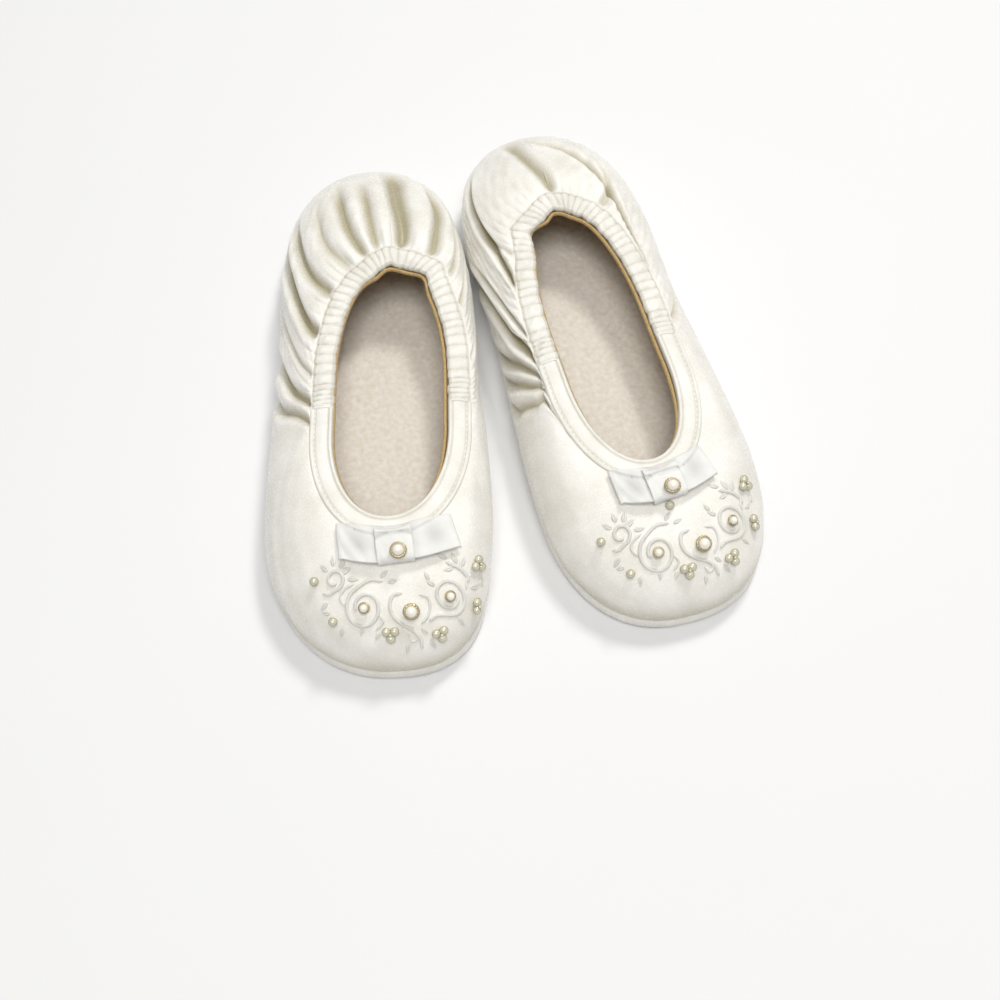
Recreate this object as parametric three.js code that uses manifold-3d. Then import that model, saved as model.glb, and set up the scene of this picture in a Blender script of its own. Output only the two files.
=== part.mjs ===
/**
 * A pair of soft satin spa slippers: padded soles, draped satin uppers with an elastic throat,
 * flat ribbon bows, and scrolls of embroidery set with pearls.
 *
 * Millimetres, +Z up. The toes point along -Y, the heels along +Y. The slipper on the -X side
 * belongs to the wearer's right foot. The origin is at the middle of the pair, on the floor.
 */
import * as THREE from 'three';
import { mergeVertices } from 'three/addons/utils/BufferGeometryUtils.js';
import Module from 'manifold-3d';

const wasm = await Module();
wasm.setup();

// ---------------------------------------------------------------- driving dimensions

// Sole plan
const SOLE_LENGTH = 243;
const BALL_HALF_WIDTH = 44.5;
const HEEL_HALF_WIDTH = 38.5;
const TOE_ROUNDING = 60; // from the tip of the toe back to the widest point
const HEEL_ROUNDING = 72; // from the back of the heel forward to the straight side
const SOLE_POWER = 2.4; // 2 is an ellipse, more is squarer

// Sole layers, from the floor up
const OUTSOLE_THICKNESS = 2.2;
const MIDSOLE_THICKNESS = 3.8;
const INSOLE_THICKNESS = 4;
const INSOLE_EDGE_ROUNDING = 1.2;
const RIM_WIDTH = 2.3; // satin strip wrapped round the edge of the sole
const RIM_LIFT = 0.5; // the rim's lower edge above the floor
const CLEARANCE = 0.3; // between neighbouring layers

// Upper
const SATIN_THICKNESS = 1.2; // satin on its soft backing
const LINING_THICKNESS = 0.9;
const SEAM_GAP = 0.5; // between the pieces that a seam joins
const UPPER_INSET = 0.2; // foot of the upper, inside the edge of the rim
const TOE_FULLNESS = 4; // outward pull of the draped satin above the rim
const SIDE_FULLNESS = 8;
const SHOULDER_SHARE = 0.42; // share of the way out at which the satin turns down
const MIN_SHOULDER = 4; // the least that the satin runs out before it turns down
const RISE_SHARE = 0.45; // share of the height at which the satin is fullest
const SIDE_SEAM = 0.5; // loop station of the seams between vamp and quarters

// Throat band and its elastic
const BAND_WIDTH = 9;
const BAND_THICKNESS = 3.2;
const BAND_PROUD = 0.5; // stands above the satin beside it
const BAND_WALL = 0.8;
const BAND_GAP = 0.5; // between the band's mouth and the layers that end there
const ELASTIC_WIDTH = 6;
const ELASTIC_THICKNESS = 0.9;
const THROAT_POWER = 2.1;
const THROAT_HEIGHT = { front: 38, side: 37, back: 43 };
const BAND_TILT = { front: 0.5, side: 1.5, back: -1 }; // rise from outer to inner edge

// Ribbon bow
const BOW_REACH = 23; // from the middle of the knot to the tip of a loop
const RIBBON_WIDTH = 14;
const RIBBON_THICKNESS = 0.5;
const RIBBON_STEPS = 3; // divisions across the ribbon, so that it follows the curve of the toe
const LOOP_HEIGHT = 2.5;
const LOOP_FLARE = 0.2; // how much wider a loop is at its tip, as a share
const LOOP_PINCH = 0.55; // its width inside the knot, as a share of the knot's length
const LOOP_SWEEP = 3; // the tips' lean back toward the throat
const KNOT_WIDTH = 14; // along the bow
const KNOT_LENGTH = 14; // across the bow
const KNOT_HEADROOM = 0.2; // over the loops inside the knot
const BOW_PEARL_OFFSET = { x: 1.2, y: -3.6 };

// Pearls, beads and thread
const LARGE_PEARL_RADIUS = 3;
const SMALL_PEARL_RADIUS = 2.1;
const BEAD_RADIUS = 1.8;
const BEAD_SPACING = 3.2;
const BEAD_LIFT = 0.4; // above the curved satin
const CORD_RADIUS = 0.7;
const MOTIF_SPREAD = BALL_HALF_WIDTH / 44.5; // the motif widens with the toe that it was drawn for

// The two slippers. Lengths along a slipper run from the tip of its sole; x runs toward +X.
const SPLAY = 6; // each slipper's turn away from straight ahead
const HEEL_NESTING = 2.8; // how far the rounded heels nest past their full widths
const HEEL_SPACING = 2 * HEEL_HALF_WIDTH - HEEL_NESTING;
const TOE_SPACING = HEEL_SPACING + 2 * SOLE_LENGTH * Math.sin(THREE.MathUtils.degToRad(SPLAY));
const RIGHT_SLIPPER = {
	name: 'right',
	place: { x: -TOE_SPACING / 2, y: 0, turn: -SPLAY },
	toeSwing: 7,
	throat: { front: 53, back: 170, half: 23.8, shiftFront: 6.5, shiftBack: 11 },
	heelFullness: 14,
	innerSide: 1,
	bow: { x: 8.5, y: 40.5, turn: 5, spread: 1 },
	motif: { x: 13.5, y: 16.5, turn: 0, spread: MOTIF_SPREAD },
	hasBowBead: false,
};
const LEFT_SLIPPER = {
	name: 'left',
	place: { x: TOE_SPACING / 2, y: 2.7, turn: SPLAY },
	toeSwing: 1,
	throat: { front: 57, back: 184, half: 21.5, shiftFront: 0, shiftBack: -1 },
	heelFullness: 21,
	innerSide: -1,
	bow: { x: 0.8, y: 45.5, turn: 5, spread: 1 },
	motif: { x: 9, y: 20, turn: 4, spread: MOTIF_SPREAD },
	hasBowBead: true,
};

// Mesh fineness
const COLUMNS = 40; // round the slipper
const ROWS = 6; // from the sole up to the throat band
const FRONT_ARC_END = 0.4; // loop stations where the toe arc ends and the heel arc starts
const BACK_ARC_START = 0.6;

// ---------------------------------------------------------------- derived heights

const MIDSOLE_BASE = OUTSOLE_THICKNESS + CLEARANCE;
const MIDSOLE_TOP = MIDSOLE_BASE + MIDSOLE_THICKNESS;
const RIM_TOP = MIDSOLE_TOP;
const UPPER_BASE = RIM_TOP + CLEARANCE;
const INSOLE_BASE = MIDSOLE_TOP + CLEARANCE;
const SOLE_INSET = RIM_WIDTH + CLEARANCE;
const LINING_DEPTH = SATIN_THICKNESS + CLEARANCE;
const INSOLE_INSET = UPPER_INSET + LINING_DEPTH + LINING_THICKNESS + CLEARANCE + 0.4;

// ---------------------------------------------------------------- finishes

const finish = (color, roughness, metalness = 0) =>
	new THREE.MeshStandardMaterial({ color, roughness, metalness });

const SATIN = finish(0xece7da, 0.32);
const RIBBON = finish(0xf4f3ee, 0.28);
const LINING = finish(0xc4a878, 0.8);
const TERRY = finish(0xeae2d6, 0.95);
const FOAM = finish(0xe9e4d8, 0.9);
const SUEDE = finish(0xcfc3ac, 0.95);
const ELASTIC = finish(0xf0eee6, 0.7);
const THREAD = finish(0xe2e1d8, 0.4, 0.1);
const PEARL = finish(0xeadfc6, 0.22);
const BEAD = finish(0xc9c3a2, 0.25, 0.1);

// ---------------------------------------------------------------- small helpers

const mix = (a, b, share) => a + (b - a) * share;
const smooth = (share) => share * share * (3 - 2 * share);

/** Brings a loop station back into the range from -1 to 1. */
const wrapped = (station) => station - 2 * Math.round(station / 2);

/** Blends a front, a side and a back value round the loop. */
function roundLoop(values, station) {
	const share = Math.abs(wrapped(station));
	return share < 0.5
		? mix(values.front, values.side, smooth(share * 2))
		: mix(values.side, values.back, smooth(share * 2 - 1));
}

/** The loop stations from one to another, evenly spaced on the shared columns. */
function stations(from, to) {
	const count = Math.round(((to - from) / 2) * COLUMNS);
	return Array.from({ length: count + 1 }, (_, i) => mix(from, to, i / count));
}

function meshFrom(name, geometry, material) {
	const mesh = new THREE.Mesh(geometry, material);
	mesh.name = name;
	return mesh;
}

/** Builds a geometry from a vertex list and quads, splitting each quad into two triangles. */
function geometryFrom(points, quads, triangles = []) {
	const index = [...triangles];
	for (const [a, b, c, d] of quads) {
		index.push([a, b, c], [a, c, d]);
	}
	const geometry = new THREE.BufferGeometry();
	const positions = points.flatMap((point) => point.toArray());
	geometry.setAttribute('position', new THREE.Float32BufferAttribute(positions, 3));
	geometry.setIndex(index.flat());
	geometry.computeVertexNormals();
	return geometry;
}

/** Turns a geometry into a manifold solid with shared vertices. */
function solidFrom(geometry) {
	const bare = geometry.clone();
	bare.deleteAttribute('normal');
	bare.deleteAttribute('uv');
	const merged = mergeVertices(bare);
	return new wasm.Manifold(new wasm.Mesh({
		numProp: 3,
		vertProperties: new Float32Array(merged.attributes.position.array),
		triVerts: new Uint32Array(merged.index.array),
	}));
}

/** Joins overlapping geometries into one closed geometry. */
function joined(geometries) {
	const solid = geometries.map(solidFrom).reduce((all, next) => all.add(next));
	const { vertProperties, triVerts, numProp } = solid.getMesh();
	const points = [];
	for (let i = 0; i < vertProperties.length; i += numProp) {
		points.push(new THREE.Vector3(...vertProperties.slice(i, i + 3)));
	}
	const triangles = [];
	for (let i = 0; i < triVerts.length; i += 3) {
		triangles.push([...triVerts.slice(i, i + 3)]);
	}
	return geometryFrom(points, [], triangles);
}

// ---------------------------------------------------------------- the slipper's form

/**
 * A point of an egg-shaped plan loop. The station runs from -1 (heel) along the -X side
 * to 0 (toe) and along the +X side to 1 (heel).
 */
function eggPoint(loop, station) {
	const share = Math.abs(wrapped(station));
	const side = wrapped(station) < 0 ? -1 : 1;
	const power = 2 / loop.power;
	let half;
	let y;
	if (share < FRONT_ARC_END) {
		const angle = (share / FRONT_ARC_END) * (Math.PI / 2);
		half = loop.half.front * Math.sin(angle) ** power;
		y = mix(loop.frontEnd, loop.toe, Math.cos(angle) ** power);
	} else if (share > BACK_ARC_START) {
		const angle = ((1 - share) / (1 - BACK_ARC_START)) * (Math.PI / 2);
		half = loop.half.back * Math.sin(angle) ** power;
		y = mix(loop.backStart, loop.heel, Math.cos(angle) ** power);
	} else {
		const along = (share - FRONT_ARC_END) / (BACK_ARC_START - FRONT_ARC_END);
		half = mix(loop.half.front, loop.half.back, smooth(along));
		y = mix(loop.frontEnd, loop.backStart, along);
	}
	return new THREE.Vector2(loop.middle(y) + side * half, y);
}

/** A point of a plan loop moved straight outward from it, or inward where grow is negative. */
function loopPoint(loop, station, grow = 0) {
	const step = 1e-3;
	const along = eggPoint(loop, station + step).sub(eggPoint(loop, station - step)).normalize();
	return eggPoint(loop, station).add(new THREE.Vector2(along.y, -along.x).multiplyScalar(grow));
}

/** The plan loops of one slipper: the edge of its sole, and the edge of its throat. */
function slipperForm(slipper) {
	const { throat, toeSwing } = slipper;
	const length = throat.back - throat.front;
	return {
		slipper,
		sole: {
			toe: 0,
			frontEnd: TOE_ROUNDING,
			backStart: SOLE_LENGTH - HEEL_ROUNDING,
			heel: SOLE_LENGTH,
			half: { front: BALL_HALF_WIDTH, back: HEEL_HALF_WIDTH },
			power: SOLE_POWER,
			middle: (y) => toeSwing * Math.max(0, 1 - y / TOE_ROUNDING) ** 2,
		},
		throat: {
			toe: throat.front,
			frontEnd: throat.front + 0.34 * length,
			backStart: throat.front + 0.54 * length,
			heel: throat.back,
			half: { front: throat.half, back: throat.half },
			power: THROAT_POWER,
			middle: (y) => mix(throat.shiftFront, throat.shiftBack, (y - throat.front) / length),
		},
	};
}

/** The inner edge of the throat band, which is the edge of the foot opening. */
function throatLip(form, station) {
	const plan = loopPoint(form.throat, station);
	return new THREE.Vector3(plan.x, plan.y, roundLoop(THROAT_HEIGHT, station));
}

/** The outer edge of the throat band, where the draped satin meets it. */
function bandEdge(form, station) {
	const plan = loopPoint(form.throat, station, BAND_WIDTH);
	const height = roundLoop(THROAT_HEIGHT, station) - roundLoop(BAND_TILT, station);
	return new THREE.Vector3(plan.x, plan.y, height);
}

/**
 * The outer surface of the slipper. level runs from 0 at the sole to 1 at the outer edge
 * of the throat band, and on to 2 at its inner edge.
 */
function surfacePoint(form, station, level) {
	const edge = bandEdge(form, station);
	const lip = throatLip(form, station);
	if (level > 1) {
		return edge.lerp(lip, level - 1);
	}
	const toThroat = lip.sub(edge).normalize();
	const top = edge.addScaledVector(toThroat, -BAND_GAP);
	const plan = loopPoint(form.sole, station, -UPPER_INSET);
	const foot = new THREE.Vector3(plan.x, plan.y, UPPER_BASE);
	const beyond = loopPoint(form.sole, station, 1 - UPPER_INSET);
	const out = new THREE.Vector3(beyond.x - plan.x, beyond.y - plan.y, 0);
	const shoulder = Math.max(MIN_SHOULDER, SHOULDER_SHARE * foot.clone().sub(top).dot(out));
	const { heelFullness } = form.slipper;
	const fullness = { front: TOE_FULLNESS, side: SIDE_FULLNESS, back: heelFullness };
	const lower = foot.clone().addScaledVector(out, roundLoop(fullness, station));
	lower.z = mix(foot.z, top.z, RISE_SHARE);
	const upper = top.clone().addScaledVector(toThroat, -shoulder);
	return new THREE.CubicBezierCurve3(foot, lower, upper, top).getPoint(level);
}

/** The surface's outward direction, and its direction along the station. */
function surfaceFrame(form, station, level) {
	const step = 1e-3;
	const before = surfacePoint(form, station - step, level);
	const along = surfacePoint(form, station + step, level).sub(before).normalize();
	const low = Math.max(0, level - step);
	const up = surfacePoint(form, station, low + 2 * step).sub(surfacePoint(form, station, low));
	return { along, normal: new THREE.Vector3().crossVectors(along, up).normalize() };
}

// ---------------------------------------------------------------- shells and sweeps

/**
 * A soft shell of even thickness that follows the surface between two stations. Where it is
 * open, its two ends stop short of the seam.
 */
function shellGeometry(form, from, to, depth, thickness) {
	const closed = to - from === 2;
	const columns = stations(from, to);
	if (closed) {
		columns.pop();
	}
	const last = columns.length - 1;
	const points = [];
	columns.forEach((station, i) => {
		for (let j = 0; j <= ROWS; j += 1) {
			const point = surfacePoint(form, station, j / ROWS);
			const { along, normal } = surfaceFrame(form, station, j / ROWS);
			if (!closed && (i === 0 || i === last)) {
				point.addScaledVector(along, (i === 0 ? 1 : -1) * SEAM_GAP / 2);
			}
			points.push(point.clone().addScaledVector(normal, -depth));
			points.push(point.addScaledVector(normal, -depth - thickness));
		}
	});

	const outer = (i, j) => 2 * ((i % columns.length) * (ROWS + 1) + j);
	const inner = (i, j) => outer(i, j) + 1;
	const quads = [];
	const cells = closed ? columns.length : last;
	for (let i = 0; i < cells; i += 1) {
		for (let j = 0; j < ROWS; j += 1) {
			quads.push([outer(i, j), outer(i + 1, j), outer(i + 1, j + 1), outer(i, j + 1)]);
			quads.push([inner(i, j), inner(i, j + 1), inner(i + 1, j + 1), inner(i + 1, j)]);
		}
		quads.push([outer(i, 0), inner(i, 0), inner(i + 1, 0), outer(i + 1, 0)]);
		quads.push([outer(i, ROWS), outer(i + 1, ROWS), inner(i + 1, ROWS), inner(i, ROWS)]);
	}
	for (let j = 0; j < ROWS && !closed; j += 1) {
		quads.push([outer(0, j), outer(0, j + 1), inner(0, j + 1), inner(0, j)]);
		quads.push([outer(last, j), inner(last, j), inner(last, j + 1), outer(last, j + 1)]);
	}
	return geometryFrom(points, quads);
}

/**
 * Sweeps a section round the throat. The section's x runs toward the foot opening from its
 * edge at 0, and its y runs outward from the satin's surface.
 */
function throatSweep(form, section, from, to) {
	const closed = to - from === 2;
	const columns = stations(from, to);
	if (closed) {
		columns.pop();
	}
	const last = columns.length - 1;
	const points = [];
	columns.forEach((station, i) => {
		const lip = throatLip(form, station);
		const inward = lip.clone().sub(bandEdge(form, station)).normalize();
		const ahead = throatLip(form, station + 1e-3).sub(throatLip(form, station - 1e-3));
		const normal = new THREE.Vector3().crossVectors(ahead, inward).normalize();
		if (!closed && (i === 0 || i === last)) {
			lip.addScaledVector(ahead.normalize(), (i === 0 ? 1 : -1) * SEAM_GAP / 2);
		}
		for (const corner of section) {
			points.push(lip.clone().addScaledVector(inward, corner.x).addScaledVector(normal, corner.y));
		}
	});

	const size = section.length;
	const corner = (i, k) => (i % columns.length) * size + (k % size);
	const quads = [];
	const cells = closed ? columns.length : last;
	for (let i = 0; i < cells; i += 1) {
		for (let k = 0; k < size; k += 1) {
			quads.push([corner(i, k), corner(i, k + 1), corner(i + 1, k + 1), corner(i + 1, k)]);
		}
	}
	const caps = [];
	if (!closed) {
		for (const [a, b, c] of THREE.ShapeUtils.triangulateShape(section, [])) {
			caps.push([corner(0, c), corner(0, b), corner(0, a)]);
			caps.push([corner(last, a), corner(last, b), corner(last, c)]);
		}
	}
	return geometryFrom(points, quads, caps);
}

/** The folded band: a channel whose mouth faces the satin's edge. */
function bandSection() {
	const top = BAND_PROUD;
	const bottom = BAND_PROUD - BAND_THICKNESS;
	const outline = [
		[-BAND_WIDTH, bottom],
		[-BAND_WALL, bottom],
		[0, bottom + BAND_WALL],
		[0, top - BAND_WALL],
		[-BAND_WALL, top],
		[-BAND_WIDTH, top],
		[-BAND_WIDTH, top - BAND_WALL],
		[-2 * BAND_WALL, top - BAND_WALL],
		[-2 * BAND_WALL, bottom + BAND_WALL],
		[-BAND_WIDTH, bottom + BAND_WALL],
	];
	return outline.map(([x, y]) => new THREE.Vector2(x, y));
}

/** The flat elastic in the middle of the band's channel. */
function elasticSection() {
	const middle = BAND_PROUD - BAND_THICKNESS / 2;
	const end = -2 * BAND_WALL - CLEARANCE;
	const outline = [
		[end - ELASTIC_WIDTH, middle - ELASTIC_THICKNESS / 2],
		[end, middle - ELASTIC_THICKNESS / 2],
		[end, middle + ELASTIC_THICKNESS / 2],
		[end - ELASTIC_WIDTH, middle + ELASTIC_THICKNESS / 2],
	];
	return outline.map(([x, y]) => new THREE.Vector2(x, y));
}

// ---------------------------------------------------------------- sole pieces

/** The sole's outline, moved inward, as a list of plan points. */
function solePoints(form, inset) {
	const columns = stations(-1, 1);
	columns.pop();
	return columns.map((station) => loopPoint(form.sole, station, -inset));
}

/** A flat layer of the sole, with its edges rounded over where rounding is more than 0. */
function soleLayer(form, inset, base, thickness, rounding = 0) {
	const geometry = new THREE.ExtrudeGeometry(new THREE.Shape(solePoints(form, inset)), {
		depth: thickness - 2 * rounding,
		bevelEnabled: rounding > 0,
		bevelThickness: rounding,
		bevelSize: rounding,
		bevelOffset: -rounding,
		bevelSegments: 1,
	});
	return geometry.translate(0, 0, base + rounding);
}

/** The satin strip round the sole's edge. */
function rimGeometry(form) {
	const shape = new THREE.Shape(solePoints(form, 0));
	shape.holes.push(new THREE.Path(solePoints(form, RIM_WIDTH)));
	const depth = RIM_TOP - RIM_LIFT;
	return new THREE.ExtrudeGeometry(shape, { depth, bevelEnabled: false }).translate(0, 0, RIM_LIFT);
}

// ---------------------------------------------------------------- laying trim on the satin

/** Finds the station and level whose surface point lies over a plan point. */
function locate(form, x, y) {
	const miss = (station, level) => {
		const point = surfacePoint(form, station, level);
		return new THREE.Vector2(point.x - x, point.y - y);
	};
	let best = { distance: Infinity };
	for (let station = -0.6; station <= 0.6; station += 0.05) {
		for (let level = 0.3; level <= 2; level += 0.1) {
			const distance = miss(station, level).length();
			if (distance < best.distance) {
				best = { distance, station, level };
			}
		}
	}
	let { station, level } = best;
	const step = 1e-4;
	for (let round = 0; round < 12; round += 1) {
		const here = miss(station, level);
		const alongStation = miss(station + step, level).sub(here).divideScalar(step);
		const alongLevel = miss(station, level + step).sub(here).divideScalar(step);
		const area = alongStation.cross(alongLevel);
		station -= here.cross(alongLevel) / area;
		level -= alongStation.cross(here) / area;
	}
	return { station, level };
}

/** The point a given height above the satin or the band, over a plan point. */
function draped(form, x, y, height) {
	const { station, level } = locate(form, x, y);
	const { normal } = surfaceFrame(form, station, level);
	return surfacePoint(form, station, level).addScaledVector(normal, height);
}

/** Turns pattern coordinates, measured from a trim's own origin, into plan coordinates. */
function planOf(trim, across, along) {
	const angle = THREE.MathUtils.degToRad(trim.turn);
	const spread = trim.spread * across;
	return {
		x: trim.x + spread * Math.cos(angle) - along * Math.sin(angle),
		y: trim.y + spread * Math.sin(angle) + along * Math.cos(angle),
	};
}

/** Lays a flat-pattern geometry, whose z is the height above the satin, on the slipper. */
function drapeGeometry(form, trim, geometry) {
	const positions = geometry.attributes.position;
	const laid = new Map();
	for (let i = 0; i < positions.count; i += 1) {
		const corner = new THREE.Vector3().fromBufferAttribute(positions, i);
		const key = corner.toArray().map((value) => value.toFixed(4)).join();
		if (!laid.has(key)) {
			const plan = planOf(trim, corner.x, corner.y);
			laid.set(key, draped(form, plan.x, plan.y, corner.z));
		}
		positions.setXYZ(i, ...laid.get(key).toArray());
	}
	geometry.computeVertexNormals();
	return geometry;
}

// ---------------------------------------------------------------- the bow

const BOW_BASE = BAND_PROUD + CLEARANCE;
const LOOP_BASE = BOW_BASE + RIBBON_THICKNESS + CLEARANCE;
const KNOT_HEIGHT = LOOP_HEIGHT + 2 * RIBBON_THICKNESS + CLEARANCE + KNOT_HEADROOM;

/** The ring of quads between two closed loops, each given by its first point. */
function loopQuads(first, second, count) {
	return Array.from({ length: count }, (_, i) => {
		const next = (i + 1) % count;
		return [first + i, first + next, second + next, second + i];
	});
}

/** One folded loop of the bow, from inside the knot to its tip. side is -1 or 1. */
function bowLoopGeometry(side) {
	const swell = (share) => LOOP_HEIGHT * (0.55 + 0.45 * Math.sin(Math.PI * share));
	const tip = swell(1) / 2;
	const profile = (inset) => {
		const start = CLEARANCE / 2 + 2 * inset;
		const end = BOW_REACH - tip;
		const shares = [0, 0.2, 0.4, 0.7, 1];
		const bottom = shares.map((share) => new THREE.Vector2(mix(start, end, share), inset));
		const top = shares.toReversed().map((share) => (
			new THREE.Vector2(mix(start, end, share), swell(share) - inset)
		));
		return [...bottom, new THREE.Vector2(BOW_REACH - inset, tip), ...top];
	};
	const section = [...profile(0), ...profile(RIBBON_THICKNESS)];
	const count = section.length / 2;
	const points = [];
	for (let step = 0; step <= RIBBON_STEPS; step += 1) {
		for (const corner of section) {
			const share = corner.x / BOW_REACH;
			const width = mix(KNOT_LENGTH * LOOP_PINCH, RIBBON_WIDTH * (1 + LOOP_FLARE), share);
			const along = (step / RIBBON_STEPS - 0.5) * width * side + LOOP_SWEEP * share ** 2;
			points.push(new THREE.Vector3(side * corner.x, along, LOOP_BASE + corner.y));
		}
	}
	const last = RIBBON_STEPS * section.length;
	const quads = [
		...loopQuads(0, count, count),
		...loopQuads(last + count, last, count),
	];
	for (let step = 0; step < RIBBON_STEPS; step += 1) {
		const near = step * section.length;
		const far = near + section.length;
		quads.push(...loopQuads(far, near, count), ...loopQuads(near + count, far + count, count));
	}
	return geometryFrom(points, quads);
}

/** The ribbon wrapped round the middle of the bow. */
function bowKnotGeometry() {
	const half = KNOT_LENGTH / 2;
	const outline = (inset) => {
		const path = new THREE.Path();
		const corner = RIBBON_THICKNESS * 2 - inset;
		path.moveTo(-half + inset + corner, inset);
		path.lineTo(half - inset - corner, inset);
		path.lineTo(half - inset, inset + corner);
		path.lineTo(half - inset, KNOT_HEIGHT - inset - corner);
		path.lineTo(half - inset - corner, KNOT_HEIGHT - inset);
		path.lineTo(-half + inset + corner, KNOT_HEIGHT - inset);
		path.lineTo(-half + inset, KNOT_HEIGHT - inset - corner);
		path.lineTo(-half + inset, inset + corner);
		return path;
	};
	const shape = new THREE.Shape(outline(0).getPoints());
	shape.holes.push(outline(RIBBON_THICKNESS));
	const options = { depth: KNOT_WIDTH, bevelEnabled: false, steps: RIBBON_STEPS };
	return new THREE.ExtrudeGeometry(shape, options)
		.translate(0, 0, -KNOT_WIDTH / 2)
		.rotateX(Math.PI / 2)
		.rotateZ(Math.PI / 2)
		.translate(0, 0, BOW_BASE);
}

// ---------------------------------------------------------------- pearls and embroidery

function pearlGeometry(radius, centre) {
	return new THREE.SphereGeometry(radius, 8, 6).translate(...centre.toArray());
}

/** Beads sewn touching one another, evenly spaced on a circle, as one piece. */
function beadGroup(form, trim, at, count) {
	const plan = planOf(trim, at.x, at.y);
	const { station, level } = locate(form, plan.x, plan.y);
	const { along, normal } = surfaceFrame(form, station, level);
	const up = new THREE.Vector3().crossVectors(normal, along);
	const centre = surfacePoint(form, station, level)
		.addScaledVector(normal, BEAD_LIFT + BEAD_RADIUS);
	const ring = BEAD_SPACING / 2 / Math.sin(Math.PI / count);
	const beads = Array.from({ length: count }, (_, i) => {
		const angle = ((i + 0.25) / count) * 2 * Math.PI;
		const bead = centre.clone()
			.addScaledVector(along, ring * Math.cos(angle))
			.addScaledVector(up, ring * Math.sin(angle));
		return pearlGeometry(BEAD_RADIUS, bead);
	});
	return joined(beads);
}

/** Points on a spiral. Angles are in turns, counter-clockwise from +x. */
function spiral({ centre, from, to, start, turns }) {
	const count = Math.ceil(Math.abs(turns) * 12);
	return Array.from({ length: count + 1 }, (_, i) => {
		const share = i / count;
		const angle = 2 * Math.PI * (start + turns * share);
		const radius = mix(from, to, share);
		return [centre.x + radius * Math.cos(angle), centre.y + radius * Math.sin(angle)];
	});
}

/** A raised line of stitching along a flat path, laid on the satin. */
function stitchedCord(form, trim, path) {
	const laid = path.map(([across, along]) => {
		const plan = planOf(trim, across, along);
		return draped(form, plan.x, plan.y, CLEARANCE + CORD_RADIUS);
	});
	const sides = 5;
	const section = new THREE.Shape(Array.from({ length: sides }, (_, i) => {
		const angle = (i / sides) * 2 * Math.PI;
		return new THREE.Vector2(CORD_RADIUS * Math.cos(angle), CORD_RADIUS * Math.sin(angle));
	}));
	const curve = new THREE.CatmullRomCurve3(laid);
	const steps = Math.ceil(curve.getLength() / 1.8);
	return new THREE.ExtrudeGeometry(section, { steps, extrudePath: curve, bevelEnabled: false });
}

// Places in the embroidery, measured from the large pearl
const SMALL_PEARL_AT = { x: -17.7, y: 2.2 };
const SCROLL_PEARL_AT = { x: 14.8, y: 5.4 };
const SINGLE_BEADS = {
	left_pearl: { x: -29.8, y: -0.6 },
	upper_left_pearl: { x: -36.4, y: 14.2 },
};
const BEAD_GROUPS = {
	front_bead_cluster: { x: -8.4, y: -7, count: 3 },
	right_bead_cluster: { x: 10.4, y: -7, count: 3 },
	right_bead_pair: { x: 24.4, y: 4, count: 2 },
	upper_right_bead_cluster: { x: 26, y: 18.5, count: 3 },
};
const SCROLLS = {
	left_scroll: [
		...spiral({ centre: SMALL_PEARL_AT, from: 3.5, to: 7.6, start: 0.55, turns: -1.25 }),
		[-15, 11.6],
		[-10, 10.8],
	],
	right_scroll: [
		...spiral({ centre: SCROLL_PEARL_AT, from: 3.4, to: 6.4, start: 0, turns: -1.25 }),
		[9.5, -1.5],
		[6.6, -3.6],
	],
	centre_flourish: [
		[-3, 6.2],
		[-6.6, 5.6],
		[-8, 2],
		[-6.8, -1.6],
		[-3.4, -4.6],
		[0, -6.2],
		[2.8, -8.8],
		[3.4, -12],
	],
	upper_left_curl: [
		...spiral({ centre: { x: -29, y: 13.5 }, from: 1.6, to: 4, start: -0.15, turns: -1.1 }),
		[-31.5, 8.6],
		[-34, 9.4],
	],
	upper_right_spray: [
		[22.6, 11],
		[22.3, 13.2],
		[20, 15.4],
		[17, 16.6],
		[14.2, 17.6],
	],
};

// ---------------------------------------------------------------- assembly

function soleMeshes(form, label) {
	return [
		meshFrom(label('outsole'), soleLayer(form, SOLE_INSET, 0, OUTSOLE_THICKNESS), SUEDE),
		meshFrom(label('midsole'), soleLayer(form, SOLE_INSET, MIDSOLE_BASE, MIDSOLE_THICKNESS), FOAM),
		meshFrom(label('sole_rim'), rimGeometry(form), SATIN),
		meshFrom(
			label('insole'),
			soleLayer(form, INSOLE_INSET, INSOLE_BASE, INSOLE_THICKNESS, INSOLE_EDGE_ROUNDING),
			TERRY,
		),
	];
}

function upperMeshes(form, label) {
	const satin = (from, to) => shellGeometry(form, from, to, 0, SATIN_THICKNESS);
	const isPlusSideInner = form.slipper.innerSide > 0;
	const band = bandSection();
	return [
		meshFrom(label('vamp'), satin(-SIDE_SEAM, SIDE_SEAM), SATIN),
		meshFrom(label(isPlusSideInner ? 'inner_quarter' : 'outer_quarter'), satin(SIDE_SEAM, 1), SATIN),
		meshFrom(label(isPlusSideInner ? 'outer_quarter' : 'inner_quarter'), satin(-1, -SIDE_SEAM), SATIN),
		meshFrom(label('lining'), shellGeometry(form, -1, 1, LINING_DEPTH, LINING_THICKNESS), LINING),
		meshFrom(label('throat_binding'), throatSweep(form, band, -SIDE_SEAM, SIDE_SEAM), SATIN),
		meshFrom(label('elastic_casing'), throatSweep(form, band, SIDE_SEAM, 2 - SIDE_SEAM), SATIN),
		meshFrom(label('throat_elastic'), throatSweep(form, elasticSection(), -1, 1), ELASTIC),
	];
}

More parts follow.
